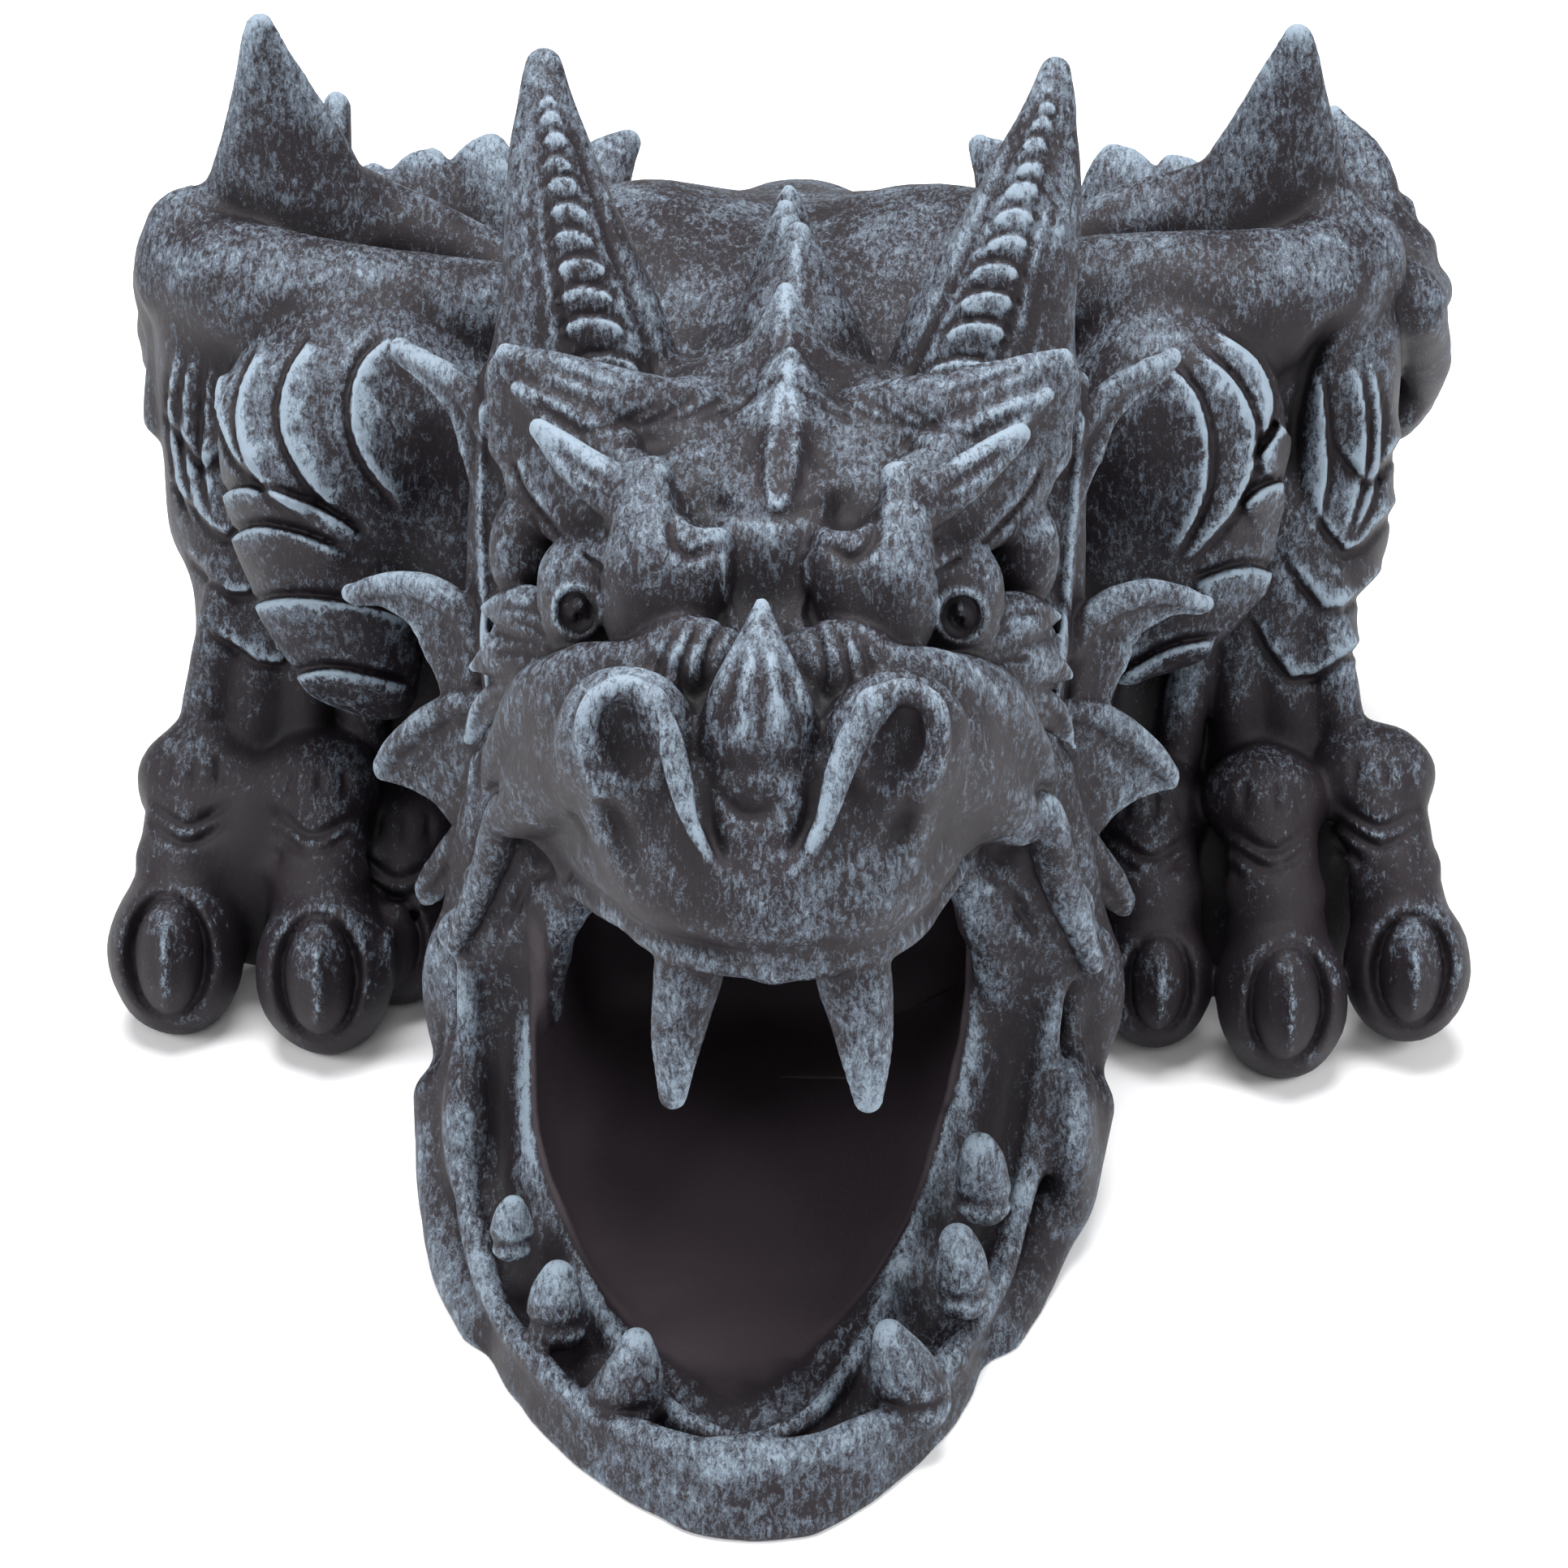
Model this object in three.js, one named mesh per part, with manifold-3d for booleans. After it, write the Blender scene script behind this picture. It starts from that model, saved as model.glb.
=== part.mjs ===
// A downspout gargoyle: a crouching horned dragon, cast in one piece, whose gaping mouth is the
// outlet of a water channel that runs through the body from an inlet at the back.
// Millimetres. +X is the creature's left, +Y runs from the chin to the tail, +Z is up.
// The origin is on the flat underside, on the centre line, level with the shoulders.

import * as THREE from "three";
import { mergeVertices } from "three/addons/utils/BufferGeometryUtils.js";
import Module from "manifold-3d";

const wasm = await Module();
wasm.setup();

// Driving dimensions
const chinY = -246; // front of the lower lip
const rearY = 205; // flat face around the inlet
const eyeAt = [40, -139, 156];
const eyeRadius = 10.5;

// The lower jaw is half an ellipse seen from above, open to the throat behind it.
const jaw = { middleY: -130, halfWidth: 68, length: -130 - chinY };
const lipWall = 7; // thickness of the lip outside the gum
const gumWidth = 12; // ledge that the lower teeth stand on
const gumDrop = 7; // how far the ledge lies below the lip
const lipFront = 14; // height of the lip at the chin
const lipClimb = { startY: -205, length: 91, height: 80 }; // rise towards the corners of the mouth
const jawLean = 0.055; // the jaw swings this far to the right for each millimetre forward
const channelFloor = { front: 11, back: 28 };
const inlet = { width: 92, height: 58 };

const X_AXIS = [1, 0, 0];
const Z_AXIS = [0, 0, 1];

const vector = (p) => new THREE.Vector3(p[0], p[1], p[2]);

// A closed three.js geometry as a manifold solid.
function solidOf(geometry) {
  const bare = geometry.clone();
  bare.deleteAttribute("normal");
  bare.deleteAttribute("uv");
  const merged = mergeVertices(bare, 1e-4);
  const vertProperties = new Float32Array(merged.attributes.position.array);
  const triVerts = new Uint32Array(merged.index.array);
  const made = new wasm.Manifold(new wasm.Mesh({ numProp: 3, vertProperties, triVerts }));
  if (made.volume() > 0) return made;
  for (let i = 0; i < triVerts.length; i += 3) {
    [triVerts[i + 1], triVerts[i + 2]] = [triVerts[i + 2], triVerts[i + 1]];
  }
  return new wasm.Manifold(new wasm.Mesh({ numProp: 3, vertProperties, triVerts }));
}

// A closed skin over rings of points, each end drawn together at a pole.
function skinOver(rings, startPole, endPole) {
  const sides = rings[0].length;
  const positions = [startPole, ...rings.flat(), endPole].flatMap((p) => p.toArray());
  const at = (ring, side) => 1 + ring * sides + (side % sides);
  const last = 1 + rings.length * sides;
  const index = [];
  for (let s = 0; s < sides; s++) {
    index.push(0, at(0, s + 1), at(0, s));
    for (let r = 0; r + 1 < rings.length; r++) {
      index.push(at(r, s), at(r, s + 1), at(r + 1, s));
      index.push(at(r, s + 1), at(r + 1, s + 1), at(r + 1, s));
    }
    index.push(at(rings.length - 1, s), at(rings.length - 1, s + 1), last);
  }
  const geometry = new THREE.BufferGeometry();
  geometry.setAttribute("position", new THREE.Float32BufferAttribute(positions, 3));
  geometry.setIndex(index);
  return geometry;
}

// A tapering limb along a smooth curve. Each station is [x, y, z, radius] or
// [x, y, z, radius across, radius along up], and both ends are rounded.
// A ripple draws in every other ring, a pleat every other point round the section.
function limb(stations, { sides = 6, rings = 2, up = Z_AXIS, ripple = 0, pleat = 0 } = {}) {
  const curve = new THREE.CatmullRomCurve3(stations.map(vector));
  const upward = vector(up);
  const radiusAt = (u, which) => {
    const t = u * (stations.length - 1);
    const i = Math.min(Math.floor(t), stations.length - 2);
    const of = (s) => s[which] ?? s[3];
    return THREE.MathUtils.lerp(of(stations[i]), of(stations[i + 1]), t - i);
  };
  const pointAt = (u, outward) => {
    const reach = Math.min(radiusAt(u, 3), radiusAt(u, 4));
    return curve.getPoint(u).addScaledVector(curve.getTangent(u), outward * reach);
  };
  const ringAt = (u, shrink, outward = 0) => {
    const tangent = curve.getTangent(u);
    const across = tangent.clone().cross(upward).normalize();
    const top = across.clone().cross(tangent);
    const centre = pointAt(u, outward);
    return Array.from({ length: sides }, (_, k) => {
      const angle = (2 * Math.PI * k) / sides;
      const size = shrink * (k % 2 ? 1 - pleat : 1);
      return centre
        .clone()
        .addScaledVector(across, Math.cos(angle) * radiusAt(u, 3) * size)
        .addScaledVector(top, Math.sin(angle) * radiusAt(u, 4) * size);
    });
  };
  const along = Array.from({ length: rings + 1 }, (_, i) => ringAt(i / rings, i % 2 ? 1 - ripple : 1));
  const rounded = [ringAt(0, Math.SQRT1_2, -Math.SQRT1_2), ...along, ringAt(1, Math.SQRT1_2, Math.SQRT1_2)];
  return solidOf(skinOver(rounded, pointAt(0, -1), pointAt(1, 1)));
}

// A sphere stretched to three radii and moved into place.
function blob(centre, radii, { sides = 8, rings = 5 } = {}) {
  const geometry = new THREE.SphereGeometry(1, sides, rings);
  geometry.rotateX(Math.PI / 2);
  geometry.scale(...radii);
  geometry.translate(...centre);
  return solidOf(geometry);
}

// Outlines of the jaw stacked along Z: each layer is { z, half, length, middleY } of an ellipse
// whose front swings to the right.
function stackedEllipses(layers, sides) {
  const rings = layers.map(({ z, half, length, middleY }) =>
    Array.from({ length: sides }, (_, k) => {
      const angle = (2 * Math.PI * k) / sides;
      const forward = length * Math.sin(angle);
      return new THREE.Vector3(half * Math.cos(angle) + jawLean * forward, middleY + forward, z);
    }),
  );
  const pole = ({ z, middleY }) => new THREE.Vector3(0, middleY, z);
  return solidOf(skinOver(rings, pole(layers[0]), pole(layers.at(-1))));
}

const joined = (solids) => [solids].flat(Infinity).reduce((sum, next) => sum.add(next));

// The same thing on both sides of the body.
const pair = (make) => {
  const left = joined(make());
  return [left, left.mirror(X_AXIS)];
};

// Body: chest, back and rump, with the neck reaching forward to the skull.
function body() {
  return [
    limb(
      [
        [0, -70, 90, 62, 66],
        [0, 0, 78, 84, 84],
        [0, 60, 78, 92, 84],
        [0, 130, 62, 84, 66],
        [0, rearY - 30, 55, 66, 56],
      ],
      { sides: 12, rings: 4 },
    ),
    limb([[0, 120, 58, 68, 56], [0, rearY + 20, 54, 60, 48]], { sides: 12, rings: 1 }),
    pair(() => blob([36, 42, 122], [42, 56, 44])),
  ];
}

function skull() {
  return [
    blob([0, -84, 134], [57, 52, 54], { sides: 10, rings: 6 }),
    blob([0, -160, 134], [40, 46, 26], { sides: 10, rings: 6 }),
    limb([[0, -105, 168, 26, 20], [0, -150, 148, 22, 16]], { rings: 1 }),
    pair(() => limb([[40, -112, 116, 22], [30, -150, 126, 22], [16, -180, 130, 22]])),
    pair(() => limb([[52, -112, 116, 14], [60, -122, 92, 13], [64, -124, 66, 12]], { up: [0, 1, 0] })),
  ];
}

function brows() {
  return pair(() => [
    limb([[25, -128, 184, 11], [30, -140, 176, 12], [27, -150, 168, 15]]),
    blob([21, -149, 165], [13, 12, 14]),
    blob(eyeAt, [eyeRadius, eyeRadius, eyeRadius + 1.5], { rings: 6 }),
    blob([50, -108, 160], [12, 14, 17]),
    limb([[50, -132, 142, 6], [62, -116, 138, 3]], { sides: 5, rings: 1 }),
    limb([[46, -138, 136, 6], [62, -122, 124, 3]], { sides: 5, rings: 1 }),
  ]);
}

// Nose horn, wrinkled bridge and the flared rims of the nostrils.
function nose() {
  const rim = (side) => [
    [side * 4, -208, 134, 3],
    [side * 12, -200, 148, 3.5],
    [side * 18, -190, 160, 4],
    [side * 30, -184, 162, 4],
    [side * 37, -188, 153, 3.5],
    [side * 30, -198, 140, 3.5],
  ];
  return [
    limb([[0, -190, 140, 9, 6], [0, -182, 156, 9, 7], [0, -173, 171, 3, 3]], { up: [0, 1, 0] }),
    blob([0, -164, 156], [21, 10, 9]),
    pair(() => limb(rim(1), { sides: 4, rings: 6 })),
    pair(() => blob([22, -184, 146], [17, 16, 16])),
  ];
}

const spike = (stations) => limb(stations, { sides: 5, rings: 1, up: [0, 1, 0] });

function hornsAndSpikes() {
  const horn = [
    [43, -76, 168, 20, 17],
    [48.5, -70, 190, 16, 14],
    [53, -62, 211, 11.5, 10],
    [54.5, -52, 230, 6.5, 6.5],
    [54, -48, 239, 3.2, 3.2],
  ];
  return [
    pair(() => limb(horn, { sides: 7, rings: 6, up: [0, 1, 0], ripple: 0.1 })),
    pair(() => spike([[34, -112, 178, 14, 9], [46, -112, 188, 8, 6], [58, -106, 199, 2, 2]])),
    pair(() => spike([[40, -118, 180, 8, 6], [53, -115, 195, 2, 2]])),
    pair(() => spike([[33, -134, 180, 6, 5], [48, -126, 191, 2, 2]])),
    spike([[0, -118, 172, 6, 5], [1, -103, 190, 2, 2]]),
    spike([[0, -104, 172, 9, 8], [2, -86, 194, 2, 2]]),
    spike([[0, -76, 172, 13, 10], [2, -62, 195, 2, 2]]),
    spike([[0, -52, 166, 17, 12], [2, -38, 198, 2.5, 2.5]]),
    spike([[0, -26, 158, 17, 12], [1, -16, 196, 2.5, 2.5]]),
    spike([[0, 34, 154, 10, 10], [0, 48, 163, 4, 4]]),
    spike([[0, 80, 142, 10, 10], [0, 94, 151, 4, 4]]),
  ];
}

// The frill beside each cheek: a scalloped web with four points, leaning back as it rises,
// and the upright strap that it grows from.
function frill() {
  const points = [[84, 180], [95, 126], [89, 92], [80, 61]];
  const thickness = 9;
  const outline = new THREE.Shape();
  outline.moveTo(54, 66);
  outline.lineTo(54, 184);
  outline.lineTo(...points[0]);
  for (let i = 1; i < points.length; i++) {
    const middleZ = (points[i - 1][1] + points[i][1]) / 2;
    outline.quadraticCurveTo(64, middleZ + 4, ...points[i]);
  }
  const web = new THREE.ExtrudeGeometry(outline, { depth: thickness, bevelEnabled: false, curveSegments: 3 });
  web.rotateX(Math.PI / 2);
  web.applyMatrix4(new THREE.Matrix4().makeShear(0, 0, 0, 0, 0, 0.25));
  web.translate(0, -102, 0);
  const strap = [[64, -80, 176, 5], [65, -88, 150, 5], [63, -95, 118, 5], [62, -104, 92, 4]];
  return pair(() => [solidOf(web), limb(strap, { sides: 5, rings: 3, up: [0, 1, 0] })]);
}

const lipHeight = (y) =>
  lipFront + lipClimb.height * Math.max(0, (y - lipClimb.startY) / lipClimb.length) ** 3.2;

// A curved wedge above a parabola: what the height of the lip leaves of a taller block.
function aboveLip(drop) {
  const profile = new THREE.Shape();
  const steps = 10;
  const endY = jaw.middleY + 14;
  profile.moveTo(chinY - 20, lipHeight(chinY) - drop);
  for (let i = 0; i <= steps; i++) {
    const y = THREE.MathUtils.lerp(chinY, endY, i / steps);
    profile.lineTo(y, lipHeight(y) - drop);
  }
  profile.lineTo(endY, 190);
  profile.lineTo(chinY - 20, 190);
  const reach = 2 * (jaw.halfWidth + 20);
  const block = new THREE.ExtrudeGeometry(profile, { depth: reach, bevelEnabled: false });
  block.applyMatrix4(new THREE.Matrix4().makeBasis(vector([0, 1, 0]), vector([0, 0, 1]), vector([1, 0, 0])));
  block.translate(-reach / 2, 0, 0);
  return solidOf(block);
}

const jawBowl = (inset, bottom, top) => {
  const layer = (z, shrink) => ({
    z,
    half: jaw.halfWidth - shrink,
    length: jaw.length - shrink,
    middleY: jaw.middleY,
  });
  return [
    layer(bottom, inset + 10),
    layer(bottom + 6, inset + 3),
    layer(bottom + 14, inset),
    layer(top, inset),
  ];
};

function lowerJaw() {
  const bowl = stackedEllipses(jawBowl(0, -2, 96), 22).subtract(aboveLip(0));
  const jowl = pair(() => [
    limb([[62, -104, 84, 12], [70, -106, 56, 12], [64, -112, 26, 12]], { up: [0, 1, 0] }),
    limb([[58, -70, 70, 20], [58, -72, 28, 20]], { rings: 1, up: [0, 1, 0] }),
  ]);
  return [bowl, jowl];
}

// The mouth's hollow, its gum ledge, and the channel that runs back to the inlet.
function waterway() {
  const bite = stackedEllipses(
    [
      { z: 12, half: jaw.halfWidth - lipWall, length: jaw.length - lipWall, middleY: jaw.middleY },
      { z: 112, half: jaw.halfWidth - lipWall, length: jaw.length - lipWall, middleY: jaw.middleY },
    ],
    22,
  ).intersect(aboveLip(gumDrop));
  const underPalate = solidOf(new THREE.BoxGeometry(200, 200, 96).translate(0, jaw.middleY - 96, 56));
  const ledgeInset = lipWall + gumWidth;
  const basin = stackedEllipses(
    [
      { z: channelFloor.front, half: 34, length: jaw.length - ledgeInset - 10, middleY: jaw.middleY },
      { z: channelFloor.front + 8, half: 46, length: jaw.length - ledgeInset - 2, middleY: jaw.middleY },
      { z: 98, half: 49, length: jaw.length - ledgeInset, middleY: jaw.middleY },
    ],
    20,
  );
  const halfTall = inlet.height / 2;
  const halfWide = inlet.width / 2;
  const middleZ = channelFloor.back + halfTall;
  const throat = limb(
    [
      [0, jaw.middleY - 30, 56, 44, 42],
      [0, -70, 58, 44, 42],
      [0, 10, 58, halfWide - 2, halfTall + 5],
      [0, rearY + 60, middleZ, halfWide, halfTall],
    ],
    { sides: 12, rings: 4 },
  );
  return [bite.intersect(underPalate), basin, throat];
}

// Two fangs above, three blunt teeth along each side below, no two quite alike.
function teeth() {
  const fangs = [
    [[-13, -193, 114, 8], [-15.5, -200, 98, 6.8], [-17, -205, 79, 2.4]],
    [[17, -193, 114, 8], [20.2, -200, 98, 6.8], [22.3, -205, 79, 2.4]],
  ];
  const lower = [
    [[-28, -216, 8, 8], [-24.5, -215, 26, 3.4]],
    [[-43, -195, 12, 6.5], [-42, -194, 27, 3.6]],
    [[-54, -177, 18, 6], [-52.5, -177, 33, 2.8]],
    [[32, -213, 8, 8.5], [27, -213, 28, 3.2]],
    [[45, -188, 10, 8], [41, -187, 36, 3.4]],
    [[52, -167, 12, 9], [45.5, -168, 45, 3.8]],
  ];
  return [fangs.map((fang) => limb(fang, { sides: 6, up: [0, 1, 0] })), lower.map((tooth) => spike(tooth))];
}

// Shoulder and arm of a front leg, both rippled by the overlapping plates that clothe them.
function frontLeg() {
  const shoulder = [
    [124, 2, 142, 20, 24],
    [110, -4, 141, 30, 36],
    [90, -12, 140, 27, 34],
    [68, -18, 138, 20, 27],
  ];
  const arm = [
    [104, -2, 124, 28, 25],
    [110, 0, 100, 28, 26],
    [118, 8, 76, 24, 24],
    [120, 2, 52, 21, 20],
    [120, -12, 32, 22, 20],
  ];
  return [
    limb(shoulder, { sides: 8, rings: 7, ripple: 0.12 }),
    limb(arm, { sides: 7, rings: 7, ripple: 0.14, up: [0, 1, 0] }),
  ];
}

// A foot is three toes, each a knuckle and a round tip with a ridged claw.
const toe = ([knuckleX, knuckleY, knuckleZ], [tipX, tipY, tipZ, radius]) => [
  limb(
    [
      [knuckleX, knuckleY + 14, knuckleZ - 14, 13],
      [knuckleX, knuckleY, knuckleZ - 5, 12],
      [(knuckleX + tipX) / 2, (knuckleY + tipY) / 2 - 2, (knuckleZ + tipZ) / 2, 12],
      [tipX, tipY + 4, tipZ, radius - 2],
    ],
  ),
  blob([tipX, tipY, tipZ - 2], [radius, radius, radius + 4]),
];

function feet() {
  return [
    toe([87, -28, 46], [89, -58, 19, 14]),
    toe([113, -34, 54], [117, -66, 20, 16]),
    toe([138, -26, 55], [146, -55, 22, 15.5]),
    toe([-90, -26, 40], [-91, -46, 18, 12.5]),
    toe([-111, -30, 52], [-106, -62, 21, 16.5]),
    toe([-141, -24, 49], [-143, -54, 21, 16.5]),
    pair(() => blob([115, -18, 22], [32, 26, 24])),
  ];
}

// Folded wing: the arm over the shoulder, the wrist claw, the pleated membrane that sweeps
// back along the flank, and the tips that stand out along its rear edge.
function wing() {
  const membrane = [
    [122, 18, 114, 24, 44],
    [124, 50, 108, 32, 50],
    [112, 100, 92, 34, 48],
    [90, 150, 78, 30, 44],
    [66, 190, 68, 20, 36],
  ];
  const tips = [
    [[112, 128, 112, 12, 9], [106, 142, 137, 2, 2]],
    [[92, 132, 108, 18, 14], [76, 152, 136, 2, 2]],
    [[48, 136, 110, 16, 12], [41, 168, 136, 2, 2]],
  ];
  return pair(() => [
    limb([[58, 26, 150, 15], [88, 16, 162, 15], [118, 16, 163, 15], [138, 26, 160, 13]], { rings: 3 }),
    limb([[116, 34, 166, 20, 9], [118, 34, 188, 13, 8], [119, 32, 214, 2.6, 2.6]], { up: [0, 1, 0] }),
    limb(membrane, { sides: 14, rings: 5, pleat: 0.16 }),
    spike([[126, 64, 142, 15, 8], [124, 96, 172, 2.5, 2.5]]),
    tips.map((tip) => spike(tip)),
  ]);
}

// Hind leg: the haunch and a foot whose pleats stand for its three toes.
function hindLeg() {
  return pair(() => [
    blob([92, 138, 54], [36, 46, 44]),
    limb([[96, 150, 18, 20, 16], [95, 112, 14, 24, 14], [94, 84, 10, 22, 10]], { sides: 12, pleat: 0.18 }),
  ]);
}

// The tail leaves the rump beside the inlet and curls forward along the right flank.
function tail() {
  const curl = [
    [-48, 176, 96, 22],
    [-92, 186, 52, 18],
    [-132, 158, 22, 15],
    [-146, 112, 15, 12],
    [-150, 72, 12, 7],
  ];
  return limb(curl, { sides: 6, rings: 5 });
}

function gargoyle() {
  const beast = joined([
    body(),
    skull(),
    lowerJaw(),
    brows(),
    nose(),
    hornsAndSpikes(),
    frill(),
    pair(frontLeg),
    feet(),
    wing(),
    hindLeg(),
    tail(),
  ]);
  const reach = 600;
  const ground = solidOf(new THREE.BoxGeometry(reach, reach, reach).translate(0, 0, -reach / 2));
  const behind = solidOf(new THREE.BoxGeometry(reach, reach, reach).translate(0, rearY + reach / 2, 0));
  return joined([beast.subtract(joined(waterway())), teeth()]).subtract(ground).subtract(behind);
}

function meshOf(solid, name, material) {
  const { vertProperties, triVerts } = solid.getMesh();
  const geometry = new THREE.BufferGeometry();
  geometry.setAttribute("position", new THREE.BufferAttribute(vertProperties, 3));
  geometry.setIndex(new THREE.BufferAttribute(triVerts, 1));
  geometry.computeVertexNormals();
  const mesh = new THREE.Mesh(geometry, material);
  mesh.name = name;
  return mesh;
}

const castStone = new THREE.MeshStandardMaterial({ color: 0x45444b, roughness: 0.72, metalness: 0 });

const part = new THREE.Group();
part.add(meshOf(gargoyle(), "gargoyle", castStone));

export default part;
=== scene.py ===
# %% [markdown]
# A downspout gargoyle: a crouching horned dragon cast in one piece from stone and resin, stained
# charcoal and dry-brushed with blue-grey. The packed model is loaded first and stays fixed; it gives
# the size and the place of everything that follows.

# %% Load the fixed frame
import math

import bpy
import numpy as np
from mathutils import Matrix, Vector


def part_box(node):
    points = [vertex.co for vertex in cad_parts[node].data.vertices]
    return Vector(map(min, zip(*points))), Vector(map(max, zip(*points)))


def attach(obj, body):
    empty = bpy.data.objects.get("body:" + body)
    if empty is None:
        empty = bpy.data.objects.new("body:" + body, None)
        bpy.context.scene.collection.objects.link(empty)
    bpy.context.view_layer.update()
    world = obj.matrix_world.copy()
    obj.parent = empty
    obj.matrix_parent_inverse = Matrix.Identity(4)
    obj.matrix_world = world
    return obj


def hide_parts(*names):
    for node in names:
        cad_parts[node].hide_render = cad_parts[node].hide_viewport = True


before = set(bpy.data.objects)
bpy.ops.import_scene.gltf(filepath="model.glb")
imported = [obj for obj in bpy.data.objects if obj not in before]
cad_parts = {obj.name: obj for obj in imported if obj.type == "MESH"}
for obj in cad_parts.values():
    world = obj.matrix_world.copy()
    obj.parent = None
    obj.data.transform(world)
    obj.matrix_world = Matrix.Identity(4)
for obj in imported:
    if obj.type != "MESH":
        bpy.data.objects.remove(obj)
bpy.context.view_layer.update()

import openvdb
from mathutils import Matrix, Vector

box_low, box_high = (1000 * np.array(corner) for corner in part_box("gargoyle"))
chin, rear = float(box_low[1]), float(box_high[1])
print("model box in mm:", box_low.round(1), box_high.round(1))

# %% [markdown]
# A carving has no flat faces or straight tubes. It could be sculpted by hand with brushes, or joined
# from spheres and tubes, but joins like that show seams. Here it is clay in numbers: a grid of
# distances to the surface, in millimetres, negative inside. Joining two lumps is a soft minimum of
# their distances and cutting is a soft maximum, so every joint melts together as worked clay does.

# %% The clay
FAR = 20.0  # every distance in empty clay, in millimetres
# Lines are drawn with a tool held above and in front of the dragon. It points along SIGHT.
SIGHT = np.array([0.0, 0.87, -0.494])
FACING = SIGHT / np.linalg.norm(SIGHT)
ACROSS = np.cross(FACING, (0, 0, 1.0))
ACROSS /= np.linalg.norm(ACROSS)
VIEW = (ACROSS, np.cross(ACROSS, FACING), FACING)


def soft_min(a, b, melt):
    if melt <= 0:
        return np.minimum(a, b)
    near = np.maximum(melt - np.abs(a - b), 0) / melt
    return np.minimum(a, b) - near * near * melt * 0.25


def soft_max(a, b, melt):
    return -soft_min(-a, -b, melt)


def dot(way, x, y, z):
    return x * way[0] + y * way[1] + z * way[2]


def from_segment(step, x, y, z):
    """How far along the segment from 0 to step each point lies, and its squared distance from it."""
    t = np.clip(dot(step, x, y, z) / max(step @ step, 1e-6), 0, 1)
    return t, (x - t * step[0]) ** 2 + (y - t * step[1]) ** 2 + (z - t * step[2]) ** 2


def smooth_path(points, per):
    """More points along the curve through the given ones, which may carry a radius too."""
    p = np.array(points, float)
    if len(p) < 3 or per < 2:
        return p
    ends = np.vstack([2 * p[0] - p[1], p, 2 * p[-1] - p[-2]])
    out = []
    for i in range(1, len(ends) - 2):
        a, b, c, d = ends[i - 1 : i + 3]
        for t in np.arange(per) / per:
            bend = (2 * a - 5 * b + 4 * c - d) * t**2 + (3 * b - a - 3 * c + d) * t**3
            out.append(0.5 * (2 * b + (c - a) * t + bend))
    return np.array(out + [p[-1]])


print("the drawing tool points along", FACING.round(2))

# %% [markdown]
# A block of clay has three tools that add to it or cut it: a ball, a strand, which is a tapering rod
# along a curve, and a web, which is a thin skin over three points. Each only touches the grid near it.

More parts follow.
